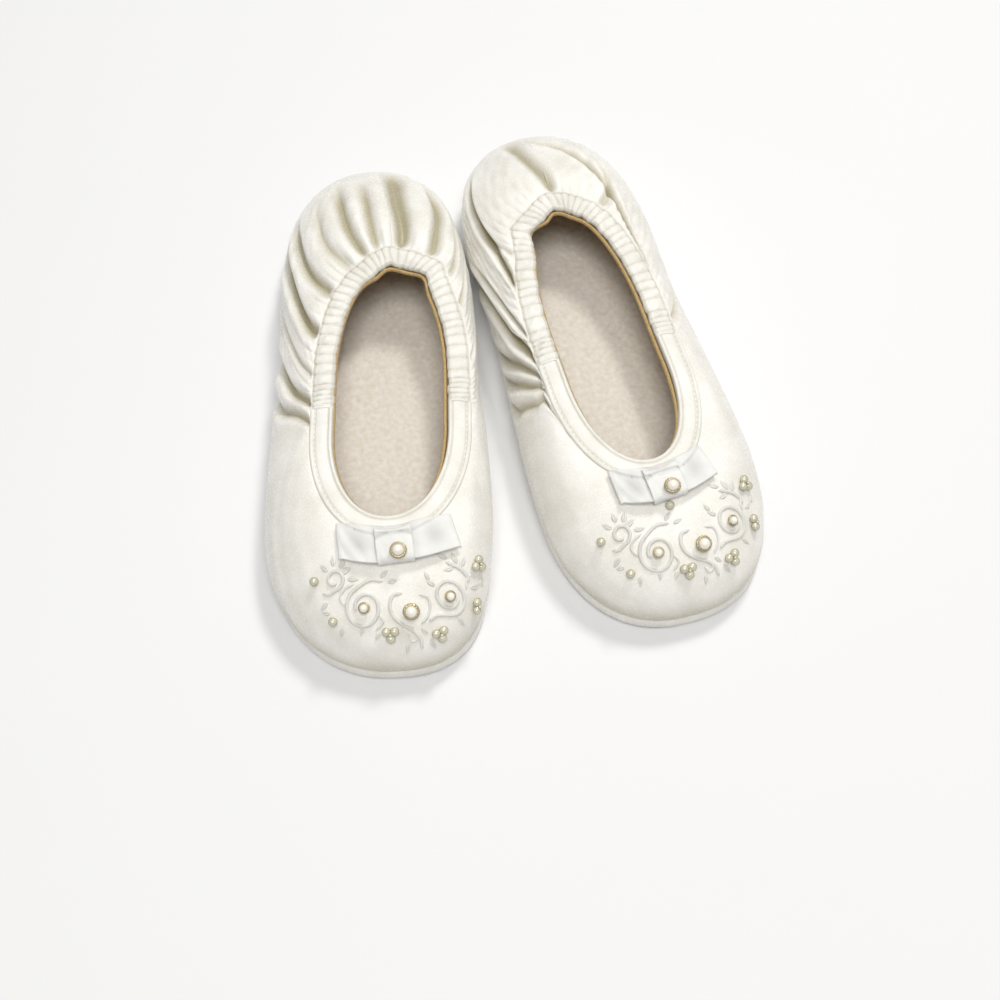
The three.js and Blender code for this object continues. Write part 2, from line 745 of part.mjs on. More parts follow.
function bowMeshes(form, label) {
	const { bow, hasBowBead } = form.slipper;
	const lay = (geometry) => drapeGeometry(form, bow, geometry);
	const pearlPlan = planOf(bow, BOW_PEARL_OFFSET.x, BOW_PEARL_OFFSET.y);
	const pearlHeight = BOW_BASE + KNOT_HEIGHT + CLEARANCE + LARGE_PEARL_RADIUS;
	const pearlAt = draped(form, pearlPlan.x, pearlPlan.y, pearlHeight);
	const meshes = [
		meshFrom(label('bow_left_loop'), lay(bowLoopGeometry(-1)), RIBBON),
		meshFrom(label('bow_right_loop'), lay(bowLoopGeometry(1)), RIBBON),
		meshFrom(label('bow_knot'), lay(bowKnotGeometry()), RIBBON),
		meshFrom(label('bow_pearl'), pearlGeometry(LARGE_PEARL_RADIUS, pearlAt), PEARL),
	];
	if (hasBowBead) {
		const along = -KNOT_LENGTH / 2 - CLEARANCE - BEAD_RADIUS;
		const plan = planOf(bow, -BOW_PEARL_OFFSET.x, along);
		const beadAt = draped(form, plan.x, plan.y, CLEARANCE + BEAD_RADIUS);
		meshes.push(meshFrom(label('bow_bead'), pearlGeometry(BEAD_RADIUS, beadAt), BEAD));
	}
	return meshes;
}

function motifMeshes(form, label) {
	const { motif } = form.slipper;
	const pearl = (radius, at) => {
		const plan = planOf(motif, at.x, at.y);
		return pearlGeometry(radius, draped(form, plan.x, plan.y, CLEARANCE + radius));
	};
	return [
		meshFrom(label('large_pearl'), pearl(LARGE_PEARL_RADIUS, { x: 0, y: 0 }), PEARL),
		meshFrom(label('small_pearl'), pearl(SMALL_PEARL_RADIUS, SMALL_PEARL_AT), PEARL),
		meshFrom(label('scroll_pearl'), pearl(SMALL_PEARL_RADIUS, SCROLL_PEARL_AT), PEARL),
		...Object.entries(SINGLE_BEADS).map(([name, at]) => (
			meshFrom(label(name), pearl(BEAD_RADIUS, at), PEARL)
		)),
		...Object.entries(BEAD_GROUPS).map(([name, at]) => (
			meshFrom(label(name), beadGroup(form, motif, at, at.count), BEAD)
		)),
		...Object.entries(SCROLLS).map(([name, path]) => (
			meshFrom(label(name), stitchedCord(form, motif, path), THREAD)
		)),
	];
}

/** Builds one slipper, standing on the floor at its own place and turn. */
function buildSlipper(slipper) {
	const form = slipperForm(slipper);
	const label = (piece) => `${slipper.name}_${piece}`;
	const group = new THREE.Group();
	group.add(
		...soleMeshes(form, label),
		...upperMeshes(form, label),
		...bowMeshes(form, label),
		...motifMeshes(form, label),
	);
	group.position.set(slipper.place.x, slipper.place.y, 0);
	group.rotation.z = THREE.MathUtils.degToRad(slipper.place.turn);
	return group;
}

const pair = new THREE.Group();
pair.add(buildSlipper(RIGHT_SLIPPER), buildSlipper(LEFT_SLIPPER));

// Bring the middle of the pair's plan box to the origin.
const box = new THREE.Box3().setFromObject(pair, true);
const middle = box.getCenter(new THREE.Vector3());
pair.position.set(-middle.x, -middle.y, -box.min.z);

export default pair;
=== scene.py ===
"""The looks of a pair of ivory satin slippers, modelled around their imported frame.

Each slipper's form is worked out in millimetres in its own frame: y runs from the tip of the
sole to the heel, x toward the left slipper's side and z up. A mesh is moved to the pair's
frame, in metres, when it is made.
"""

import logging
import math
from collections.abc import Callable, Iterable
from dataclasses import dataclass, field
from enum import Enum

import bmesh
import bpy
import numpy as np
from mathutils import Matrix, Vector

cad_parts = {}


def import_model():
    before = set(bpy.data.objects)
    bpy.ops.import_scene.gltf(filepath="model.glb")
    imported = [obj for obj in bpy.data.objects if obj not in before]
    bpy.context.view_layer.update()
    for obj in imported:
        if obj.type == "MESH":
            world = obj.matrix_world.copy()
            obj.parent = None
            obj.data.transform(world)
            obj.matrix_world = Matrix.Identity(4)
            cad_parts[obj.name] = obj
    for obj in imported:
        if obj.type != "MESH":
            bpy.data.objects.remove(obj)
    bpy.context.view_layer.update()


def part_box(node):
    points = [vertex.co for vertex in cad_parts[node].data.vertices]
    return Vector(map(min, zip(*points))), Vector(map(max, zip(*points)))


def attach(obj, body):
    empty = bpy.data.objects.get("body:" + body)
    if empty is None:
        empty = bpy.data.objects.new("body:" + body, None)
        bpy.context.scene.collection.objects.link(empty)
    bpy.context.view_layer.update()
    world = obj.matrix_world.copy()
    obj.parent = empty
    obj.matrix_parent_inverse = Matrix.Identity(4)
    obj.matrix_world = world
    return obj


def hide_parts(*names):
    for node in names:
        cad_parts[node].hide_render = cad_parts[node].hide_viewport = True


logging.basicConfig(level=logging.INFO, format="%(message)s")
LOG = logging.getLogger("slippers")

SEED = 11

# A number or an array of numbers, what a shader's input takes, and a colour with its alpha
Values = float | np.ndarray
Feed = float | tuple | bpy.types.NodeSocket
Colour = tuple[float, float, float, float]

# Sole, in millimetres
SOLE_LENGTH = 243.0
TOE_ROUNDING = 60.0
HEEL_ROUNDING = 72.0
BALL_HALF_WIDTH = 44.5
HEEL_HALF_WIDTH = 38.5
SOLE_POWER = 2.4
OUTSOLE_THICKNESS = 2.2
MIDSOLE_BASE = 2.5
MIDSOLE_TOP = 6.3
RIM_LIFT = 0.5
RIM_WIDTH = 2.3
SOLE_INSET = 2.6
INSOLE_BASE = 6.6
INSOLE_TOP = 10.6
INSOLE_INSET = 3.3

# Upper
UPPER_BASE = 6.6
UPPER_INSET = 0.2
MIN_SHOULDER = 4.0
SHOULDER_SHARE = 0.42
RISE_SHARE = 0.45
TOE_FULLNESS = 4.0
SIDE_FULLNESS = 8.0
SIDE_SEAM = 0.5
SATIN_THICKNESS = 0.9
LINING_DEPTH = 1.8
LINING_THICKNESS = 0.7
BAND_WIDTH = 9.0
BAND_GAP = 0.5
THROAT_POWER = 2.1
FRONT_ARC_END = 0.4
BACK_ARC_START = 0.6
THROAT_ARC_SHARES = (0.34, 0.54)  # of the opening's length, where its toe and heel arcs end
BAND_FULLNESS = 0.6
GATHERS = 47  # ribs that the elastic gathers from the toe to the heel
GATHER_DRIFT = 0.22
GATHER_SHARPNESS = 0.7
GATHER_HEIGHT = 1.1
GATHER_REACH = 0.09  # in levels down from the band
FOLD_SWAY = 0.9
FOLD_BANK = 0.2  # height of the banks beside a valley, as a share of its depth
SEAM_QUIET = 0.05  # in stations, where the noise dies out beside the back seam
SLOPE_STEP = 1e-3  # in stations or levels, for reading a slope
TOP_LEVEL = 0.998  # the highest level whose slope is still the satin's

# Bow and trims
BOW_BASE = 0.8
RIBBON_WIDTH = 14.0
RIBBON_THICKNESS = 0.5
LOOP_BASE = 1.6
LOOP_HEIGHT = 2.5
LOOP_GATHER = 0.9
LOOP_SWEEP = 3.0
KNOT_WIDTH = 14.0
KNOT_LENGTH = 14.0
KNOT_HEIGHT = 4.0
LARGE_PEARL_RADIUS = 3.0
SMALL_PEARL_RADIUS = 2.1
BEAD_RADIUS = 1.8
BEAD_SPACING = 3.2


# ---------------------------------------------------------------- small maths


def mix(first: Values, second: Values, share: Values) -> Values:
    """Blends two values or arrays by a share from 0 to 1."""
    return first + (second - first) * share


def smooth(share: Values) -> Values:
    """Eases a share from 0 to 1 in and out, holding it inside that range."""
    held = np.clip(share, 0.0, 1.0)
    return held * held * (3 - 2 * held)


def wrapped(station: Values) -> Values:
    """Brings loop stations back into the range from -1 to 1."""
    return station - 2 * np.round(np.asarray(station, float) / 2)


def unit(vectors: np.ndarray) -> np.ndarray:
    """Scales vectors along the last axis to length 1."""
    return vectors / np.maximum(np.linalg.norm(vectors, axis=-1, keepdims=True), 1e-9)


def ripple(along: Values, seed: int, octaves: int = 4) -> np.ndarray:
    """A smooth one-dimensional noise from about -1 to 1, one feature per unit.

    Args:
        along: Where to read the noise.
        seed: Chooses the pattern.
        octaves: How many waves of different length are added.

    Returns:
        The noise at each place.
    """
    random = np.random.default_rng(seed)
    total = np.zeros(np.shape(along))
    for _ in range(octaves):
        rate, phase = random.uniform(0.6, 1.7), random.uniform(0, 2 * math.pi)
        total = total + np.sin(2 * math.pi * rate * np.asarray(along) + phase)
    return total / math.sqrt(2 * octaves)


def through(points: np.ndarray, count: int, closed: bool = False) -> np.ndarray:
    """Runs a smooth curve through points.

    Args:
        points: The points to pass through, as rows.
        count: Samples on each span.
        closed: Whether the last point leads back to the first.

    Returns:
        The samples, as rows.
    """
    points = np.asarray(points, float)
    if closed:
        ring = np.vstack([points[-1:], points, points[:2]])
    else:
        first = 2 * points[0] - points[1]
        last = 2 * points[-1] - points[-2]
        ring = np.vstack([first, points, last])
    share = (np.arange(count) / count)[:, None]
    spans = []
    for a, b, c, d in zip(ring, ring[1:], ring[2:], ring[3:]):
        bend = (2 * a - 5 * b + 4 * c - d) * share**2 + (3 * b - a - 3 * c + d) * share**3
        spans.append(0.5 * (2 * b + (c - a) * share + bend))
    samples = np.vstack(spans)
    return samples if closed else np.vstack([samples, points[-1:]])


def evenly(path: np.ndarray, spacing: float) -> np.ndarray:
    """Walks a path in equal steps of about the given spacing.

    Args:
        path: Points as rows.
        spacing: The wanted step, in the path's own unit.

    Returns:
        The points, as rows.
    """
    steps = np.linalg.norm(np.diff(path, axis=0), axis=1)
    reach = np.concatenate([[0.0], np.cumsum(steps)])
    wanted = np.linspace(0, reach[-1], max(3, int(reach[-1] / spacing)))
    return np.stack([np.interp(wanted, reach, column) for column in path.T], axis=-1)


def gather_phase(station: Values, seed: int, hold: Values = 1.0) -> Values:
    """Counts the gathers up to a station; whole numbers are the valleys between ribs."""
    return station * GATHERS + GATHER_DRIFT * hold * ripple(station * 6, seed + 5)


def pleat(phase: Values) -> Values:
    """The height of a gathered rib, from 0 to 1, at a count of gathers."""
    return np.abs(np.sin(math.pi * phase)) ** GATHER_SHARPNESS


# ---------------------------------------------------------------- what makes each slipper


@dataclass(frozen=True)
class Around:
    """A value that changes from the front, past the side, to the back of a loop."""

    front: float
    side: float
    back: float

    def at(self, station: Values) -> np.ndarray:
        """The value at loop stations.

        Args:
            station: Loop stations.

        Returns:
            The value at each station.
        """
        share = np.abs(wrapped(station))
        ahead = mix(self.front, self.side, smooth(share * 2))
        behind = mix(self.side, self.back, smooth(share * 2 - 1))
        return np.where(share < 0.5, ahead, behind)


THROAT_HEIGHT = Around(38.0, 37.0, 43.0)
BAND_TILT = Around(0.5, 1.5, -1.0)


@dataclass(frozen=True)
class Fold:
    """A soft fold of the gathered satin.

    Attributes:
        at: Loop station where it meets the throat band.
        foot: Loop station that it points at on the sole.
        width: Half width in millimetres.
        depth: How far it dips; a negative depth is a ridge.
        low: Level, from 0 at the sole to 1 at the band, where it dies out.
        high: Level where it starts.
        bend: How soon it turns away from the band; below 1 it runs beside the band at first.
    """

    at: float
    foot: float
    width: float
    depth: float
    low: float = 0.1
    high: float = 1.0
    bend: float = 1.25


@dataclass(frozen=True)
class Trim:
    """Where a trim lies on the toe, in the slipper's plan."""

    x: float
    y: float
    turn: float

    def plan(self, across: Values, along: Values) -> tuple[Values, Values]:
        """Turns pattern coordinates into plan coordinates.

        Args:
            across: Pattern x, in mm.
            along: Pattern y, in mm.

        Returns:
            The plan's x and y, in mm.
        """
        angle = math.radians(self.turn)
        x = self.x + across * math.cos(angle) - along * math.sin(angle)
        y = self.y + across * math.sin(angle) + along * math.cos(angle)
        return x, y


@dataclass(frozen=True)
class Throat:
    """The plan of the foot opening.

    Attributes:
        front: Where it starts.
        back: Where it ends.
        half: Half its width.
        shift_front: How far its middle line is moved at the front.
        shift_back: How far its middle line is moved at the back.
        corners: Station, outward pull and half width, in stations, of each soft corner.
    """

    front: float
    back: float
    half: float
    shift_front: float
    shift_back: float
    corners: tuple[tuple[float, float, float], ...] = ()


@dataclass(frozen=True)
class SlipperSpec:
    """All that differs between the two slippers."""

    name: str
    turn: float
    toe_swing: float
    throat: Throat
    heel_fullness: float
    bow: Trim
    bow_reach: float
    motif: Trim
    folds: tuple[Fold, ...]
    has_bow_bead: bool
    seed: int


RIGHT = SlipperSpec(
    name="right",
    turn=-6.0,
    toe_swing=7.0,
    throat=Throat(53.0, 170.0, 23.8, 6.5, 11.0,
                  corners=((0.87, 3.0, 0.04), (-0.9, -1.2, 0.05), (-0.985, 0.9, 0.035))),
    heel_fullness=14.0,
    bow=Trim(8.5, 40.5, 5.0),
    bow_reach=23.0,
    motif=Trim(13.5, 16.5, 0.0),
    folds=(
        Fold(-0.43, -0.525, 3.2, 3.2, 0.02, bend=0.32),
        Fold(-0.53, -0.565, 3.4, 4.0, 0.02, bend=0.7),
        Fold(-0.62, -0.62, 3.0, 1.6, 0.3),
        Fold(-0.71, -0.73, 4.6, 5.0, 0.2),
        Fold(-0.80, -0.79, 4.2, 3.8, 0.25),
        Fold(-0.875, -0.87, 3.0, 2.2, 0.45),
        Fold(-0.93, -0.925, 3.0, 3.8, 0.4),
        Fold(-0.97, -0.965, 2.8, 3.4, 0.45),
        Fold(0.98, 0.975, 4.6, 5.4, 0.3),
        Fold(0.905, 0.91, 3.4, 3.6, 0.35),
        Fold(0.84, 0.85, 3.0, 2.4, 0.45),
        Fold(0.76, 0.77, 3.0, 1.8, 0.5),
        Fold(0.64, 0.64, 3.0, 1.2, 0.5),
    ),
    has_bow_bead=False,
    seed=3,
)
LEFT = SlipperSpec(
    name="left",
    turn=6.0,
    toe_swing=1.0,
    throat=Throat(57.0, 184.0, 21.5, 0.0, -1.0,
                  corners=((-0.85, 3.2, 0.04), (0.93, -1.2, 0.05), (-0.975, 1.2, 0.035))),
    heel_fullness=21.0,
    bow=Trim(0.8, 45.5, 5.0),
    bow_reach=20.0,
    motif=Trim(9.0, 20.0, 4.0),
    folds=(
        Fold(-0.282, -0.505, 3.2, 2.8, 0.02, bend=0.32),
        Fold(-0.36, -0.527, 3.2, 3.4, 0.02, bend=0.32),
        Fold(-0.43, -0.55, 3.4, 3.8, 0.02, bend=0.32),
        Fold(-0.515, -0.64, 5.0, 5.2, 0.02, bend=0.5),
        Fold(-0.61, -0.70, 3.2, 2.6, 0.3, bend=0.8),
        Fold(-0.715, -0.93, 4.6, 4.8, 0.3, bend=0.9),
        Fold(-0.79, -0.80, 3.0, 1.6, 0.55),
        Fold(-1.0, -0.94, 3.4, 3.4, 0.3),
        Fold(0.86, 0.93, 3.0, 2.4, 0.55),
        Fold(0.70, 1.14, 4.4, 4.4, 0.42, bend=0.6),
        Fold(0.56, 0.60, 3.5, 1.8, 0.4),
    ),
    has_bow_bead=True,
    seed=8,
)


# ---------------------------------------------------------------- the form of a slipper


@dataclass(frozen=True)
class Loop:
    """A closed, egg-shaped plan outline, read by stations: 0 is the toe and 1 or -1 the heel."""

    toe: float
    front_end: float
    back_start: float
    heel: float
    half_front: float
    half_back: float
    power: float
    swing: float = 0.0
    shift_front: float = 0.0
    shift_back: float = 0.0
    corners: tuple[tuple[float, float, float], ...] = ()

    def middle(self, y: Values) -> Values:
        """The x of the loop's middle line at lengths y.

        Args:
            y: Lengths from the tip of the sole, in mm.

        Returns:
            The middle line's x at each length.
        """
        swung = self.swing * np.maximum(0.0, 1 - y / TOE_ROUNDING) ** 2
        share = (y - self.toe) / (self.heel - self.toe)
        return swung + mix(self.shift_front, self.shift_back, share)

    def outline(self, station: Values) -> np.ndarray:
        """The plan points at stations, with the soft corners.

        Args:
            station: Loop stations.

        Returns:
            The plan points, with x and y along the last axis.
        """
        pull = np.zeros(np.shape(station))
        for place, amount, width in self.corners:
            pull = pull + amount * np.exp(-((wrapped(station - place) / width) ** 2))
        return self.egg(station) + self.outward(station) * pull[..., None]

    def egg(self, station: Values) -> np.ndarray:
        """The plan points at stations, without corners.

        Args:
            station: Loop stations.

        Returns:
            The plan points, with x and y along the last axis.
        """
        station = wrapped(station)
        share = np.abs(station)
        power = 2 / self.power
        front = np.clip(share / FRONT_ARC_END, 0, 1) * math.pi / 2
        back = np.clip((1 - share) / (1 - BACK_ARC_START), 0, 1) * math.pi / 2
        along = (share - FRONT_ARC_END) / (BACK_ARC_START - FRONT_ARC_END)
        half = mix(self.half_front, self.half_back, smooth(along))
        half = half * np.where(share < FRONT_ARC_END, np.sin(front) ** power, 1.0)
        half = half * np.where(share > BACK_ARC_START, np.sin(back) ** power, 1.0)
        y = mix(self.front_end, self.back_start, along)
        toe_y = mix(self.front_end, self.toe, np.clip(np.cos(front), 0, 1) ** power)
        heel_y = mix(self.back_start, self.heel, np.clip(np.cos(back), 0, 1) ** power)
        y = np.where(share < FRONT_ARC_END, toe_y, y)
        y = np.where(share > BACK_ARC_START, heel_y, y)
        return np.stack([self.middle(y) + np.sign(station) * half, y], axis=-1)

    def outward(self, station: Values) -> np.ndarray:
        """The plan directions pointing out of the loop."""
        tangent = self.egg(station + SLOPE_STEP) - self.egg(station - SLOPE_STEP)
        return unit(np.stack([tangent[..., 1], -tangent[..., 0]], axis=-1))

    def grown(self, station: Values, grow: Values) -> np.ndarray:
        """The plan points at stations, moved outward."""
        return self.outline(station) + self.outward(station) * np.asarray(grow)[..., None]


class SlipperShape:
    """The draped form of one slipper, and its place in the pair."""

    def __init__(self, spec: SlipperSpec) -> None:
        """Works out the loops of the sole and throat, and the slipper's place.

        Args:
            spec: The slipper's own sizes.
        """
        self.spec = spec
        self.sole = Loop(
            toe=0.0,
            front_end=TOE_ROUNDING,
            back_start=SOLE_LENGTH - HEEL_ROUNDING,
            heel=SOLE_LENGTH,
            half_front=BALL_HALF_WIDTH,
            half_back=HEEL_HALF_WIDTH,
            power=SOLE_POWER,
            swing=spec.toe_swing,
        )
        throat = spec.throat
        length = throat.back - throat.front
        self.throat = Loop(
            toe=throat.front,
            front_end=throat.front + THROAT_ARC_SHARES[0] * length,
            back_start=throat.front + THROAT_ARC_SHARES[1] * length,
            heel=throat.back,
            half_front=throat.half,
            half_back=throat.half,
            power=THROAT_POWER,
            shift_front=throat.shift_front,
            shift_back=throat.shift_back,
            corners=throat.corners,
        )
        self.fullness = Around(TOE_FULLNESS, SIDE_FULLNESS, spec.heel_fullness)
        angle = math.radians(spec.turn)
        self.turning = np.array(
            [[math.cos(angle), -math.sin(angle)], [math.sin(angle), math.cos(angle)]]
        )
        outline = self.sole.outline(np.linspace(-1, 1, 401)) @ self.turning.T
        low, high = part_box(f"{spec.name}_sole_rim")
        middle = (np.array(low[:2]) + np.array(high[:2])) / 2
        self.place = middle - (outline.min(0) + outline.max(0)) / 2000
        self._trial = None

    def world(self, points: np.ndarray) -> np.ndarray:
        """Moves points from the slipper's frame, in mm, to the pair's frame, in metres.

        Args:
            points: Points in mm, with x, y and z along the last axis.

        Returns:
            The points, in metres.
        """
        points = np.asarray(points, float)
        plan = points[..., :2] @ self.turning.T / 1000 + self.place
        return np.concatenate([plan, points[..., 2:] / 1000], axis=-1)

    def surface(self, station: Values, level: Values) -> np.ndarray:
        """Points of the unfolded upper, from the sole (0) to the band (1) and its lip (2).

        Args:
            station: Loop stations.
            level: Levels, from 0 at the sole to 1 at the band and 2 at its lip.

        Returns:
            The points, in mm in the slipper's frame.
        """
        station, level = np.broadcast_arrays(np.asarray(station, float), np.asarray(level, float))
        height = THROAT_HEIGHT.at(station)
        lip = np.concatenate([self.throat.outline(station), height[..., None]], axis=-1)
        edge_plan = self.throat.grown(station, BAND_WIDTH)
        edge_height = height - BAND_TILT.at(station)
        edge = np.concatenate([edge_plan, edge_height[..., None]], axis=-1)
        to_throat = unit(lip - edge)
        top = edge - to_throat * BAND_GAP
        foot_plan = self.sole.grown(station, -UPPER_INSET)
        foot = np.concatenate([foot_plan, np.full(height.shape + (1,), UPPER_BASE)], axis=-1)
        out = self.sole.outward(station)
        reach = ((foot - top)[..., :2] * out).sum(-1)
        shoulder = np.maximum(MIN_SHOULDER, SHOULDER_SHARE * reach)[..., None]
        lower = foot.copy()
        lower[..., :2] += out * self.fullness.at(station)[..., None]
        lower[..., 2] = mix(foot[..., 2], top[..., 2], RISE_SHARE)
        upper = top - to_throat * shoulder
        t = np.clip(level, 0, 1)[..., None]
        curve = (
            foot * (1 - t) ** 3
            + 3 * lower * t * (1 - t) ** 2
            + 3 * upper * t**2 * (1 - t)
            + top * t**3
        )
        band = mix(edge, lip, (level - 1)[..., None])
        return np.where(level[..., None] > 1, band, curve)

    def frame(self, station: Values, level: Values) -> tuple[np.ndarray, np.ndarray]:
        """Directions along the loop and out of the surface.

        Args:
            station: Loop stations.
            level: Levels, from 0 at the sole to 1 at the band and 2 at its lip.

        Returns:
            Unit directions along the loop, and unit directions outward.
        """
        step = SLOPE_STEP
        along = self.surface(station + step, level) - self.surface(station - step, level)
        rise = np.where(np.asarray(level) > 1.01, level, np.minimum(level, TOP_LEVEL))
        up = self.surface(station, rise + step) - self.surface(station, rise - step)
        return unit(along), unit(np.cross(along, up))

    def relief(self, station: Values, level: Values, spread: float = 1.0) -> np.ndarray:
        """How far the satin stands out of or dips below its unfolded surface, in mm.

        Args:
            station: Loop stations.
            level: Levels.
            spread: Widens every fold, for a cloth that has to lie clear below the satin.

        Returns:
            The relief at each place.
        """
        station, level = np.broadcast_arrays(np.asarray(station, float), np.asarray(level, float))
        t = np.clip(level, 0, 1)
        seed = self.spec.seed
        back = smooth((np.abs(station) - 0.36) / 0.2)
        seam = smooth((1 - np.abs(wrapped(station))) / SEAM_QUIET)
        total = seam * 0.35 * ripple(station * 7 + 1.3 * t, seed) * ripple(t * 1.7, seed + 1)
        held, step = np.minimum(t, TOP_LEVEL), SLOPE_STEP
        apart = self.surface(station + step, held) - self.surface(station - step, held)
        pace = np.linalg.norm(apart, axis=-1) / (2 * step)
        for i, fold in enumerate(self.spec.folds):
            bend = (1 - t) ** fold.bend
            line = mix(fold.at, fold.foot, bend)
            sway = FOLD_SWAY * ripple(1.6 * t, seed + 20 + i)
            width = fold.width * (0.75 + 0.7 * (1 - t)) * spread
            off = (wrapped(station - line) * pace + sway) / width
            reach = smooth((t - fold.low) / 0.22) * smooth((fold.high - t) / 0.06 + 0.45)
            valley = np.exp(-1.1 * np.abs(off) ** 1.25)
            banks = np.exp(-((np.abs(off) - 1.7) ** 2) * 1.1)
            total = total + reach * fold.depth * (FOLD_BANK * banks - valley)
        gathers = pleat(gather_phase(station, seed, seam)) - 0.6
        total = total + back * GATHER_HEIGHT * gathers * np.exp(-(1 - t) / GATHER_REACH)
        finer = ripple(station * 23 - 3 * t, seed + 6) * ripple(t * 3 + station * 2, seed + 7)
        total = total + seam * back * 0.3 * finer
        return total * smooth(t / 0.09) * mix(1.0, 0.55, smooth((t - 0.93) / 0.07))

    def satin(self, station: Values, level: Values, height: Values = 0.0) -> np.ndarray:
        """Points at a height over the folded satin or over the band.

        Args:
            station: Loop stations.
            level: Levels, from 0 at the sole to 1 at the band and 2 at its lip.
            height: How far over the cloth, in mm.

        Returns:
            The points, in mm in the slipper's frame.
        """
        station, level = np.broadcast_arrays(np.asarray(station, float), np.asarray(level, float))
        _, normal = self.frame(station, level)
        relief = np.where(level > 1, BAND_FULLNESS, self.relief(station, level))
        return self.surface(station, level) + normal * (relief + height)[..., None]

    def locate(self, x: Values, y: Values) -> tuple[np.ndarray, np.ndarray]:
        """Finds the station and level that lie over plan points on the toe.

        Args:
            x: Plan x, in mm.
            y: Plan y, in mm.

        Returns:
            The stations and the levels.
        """
        shape = np.shape(x)
        wanted = np.stack([np.ravel(x), np.ravel(y)], axis=-1)
        if self._trial is None:
            stations, levels = np.meshgrid(
                np.linspace(-0.6, 0.6, 61), np.linspace(0.2, 2, 37), indexing="ij"
            )
            plan = self.surface(stations, levels)[..., :2].reshape(-1, 2)
            self._trial = (stations.ravel(), levels.ravel(), plan)
        stations, levels, plan = self._trial
        nearest = np.concatenate(
            [
                np.argmin(((plan[None] - part[:, None]) ** 2).sum(-1), axis=1)
                for part in np.array_split(wanted, max(1, len(wanted) // 500))
            ]
        )
        s, t = stations[nearest].copy(), levels[nearest].copy()
        step = 1e-4
        for _ in range(7):
            here = self.surface(s, t)[:, :2] - wanted
            along = (self.surface(s + step, t)[:, :2] - wanted - here) / step
            up = (self.surface(s, t + step)[:, :2] - wanted - here) / step
            area = along[:, 0] * up[:, 1] - along[:, 1] * up[:, 0]
            area = np.where(np.abs(area) < 1e-6, 1e-6, area)
            s = s - np.clip((here[:, 0] * up[:, 1] - here[:, 1] * up[:, 0]) / area, -0.03, 0.03)
            t = t - np.clip((along[:, 0] * here[:, 1] - along[:, 1] * here[:, 0]) / area, -0.1, 0.1)
        return s.reshape(shape), t.reshape(shape)

    def drape(self, trim: Trim, pattern: np.ndarray) -> np.ndarray:
        """Lays pattern points, whose z is a height, on the satin."""
        s, t = self.locate(*trim.plan(pattern[..., 0], pattern[..., 1]))
        return self.satin(s, t, pattern[..., 2])

    def patch(self, trim: Trim, across: float, along: float) -> tuple[np.ndarray, ...]:
        """The satin's point and its along, up and outward directions at a pattern point.

        Args:
            trim: Where the pattern lies.
            across: Pattern x, in mm.
            along: Pattern y, in mm.

        Returns:
            The point, then the three unit directions.
        """
        s, t = self.locate(*(np.array([value]) for value in trim.plan(across, along)))
        tangent, normal = self.frame(s, t)
        return self.satin(s, t)[0], tangent[0], np.cross(normal, tangent)[0], normal[0]


# ---------------------------------------------------------------- meshes


def grid_faces(rows: int, columns: int, wrap: bool = False, start: int = 0) -> np.ndarray:
    """The quads of a grid of vertices.

    Args:
        rows: Rows of vertices.
        columns: Vertices in each row.
        wrap: Whether each row closes on itself.
        start: Number of the first vertex.

    Returns:
        Four vertex numbers for each quad.
    """
    r, c = np.meshgrid(
        np.arange(rows - 1), np.arange(columns if wrap else columns - 1), indexing="ij"
    )
    right = (c + 1) % columns
    here, below = r * columns, (r + 1) * columns
    corners = [here + c, here + right, below + right, below + c]
    return np.stack(corners, axis=-1).reshape(-1, 4) + start


def grid_normals(grid: np.ndarray, wrap: bool) -> np.ndarray:
    """The normals of a grid of points.

    Args:
        grid: Points in rows and columns.
        wrap: Whether each row closes on itself.

    Returns:
        A unit normal for each point.
    """
    down = np.gradient(grid, axis=0)
    across = (
        np.roll(grid, -1, axis=1) - np.roll(grid, 1, axis=1) if wrap else np.gradient(grid, axis=1)
    )
    return unit(np.cross(across, down))


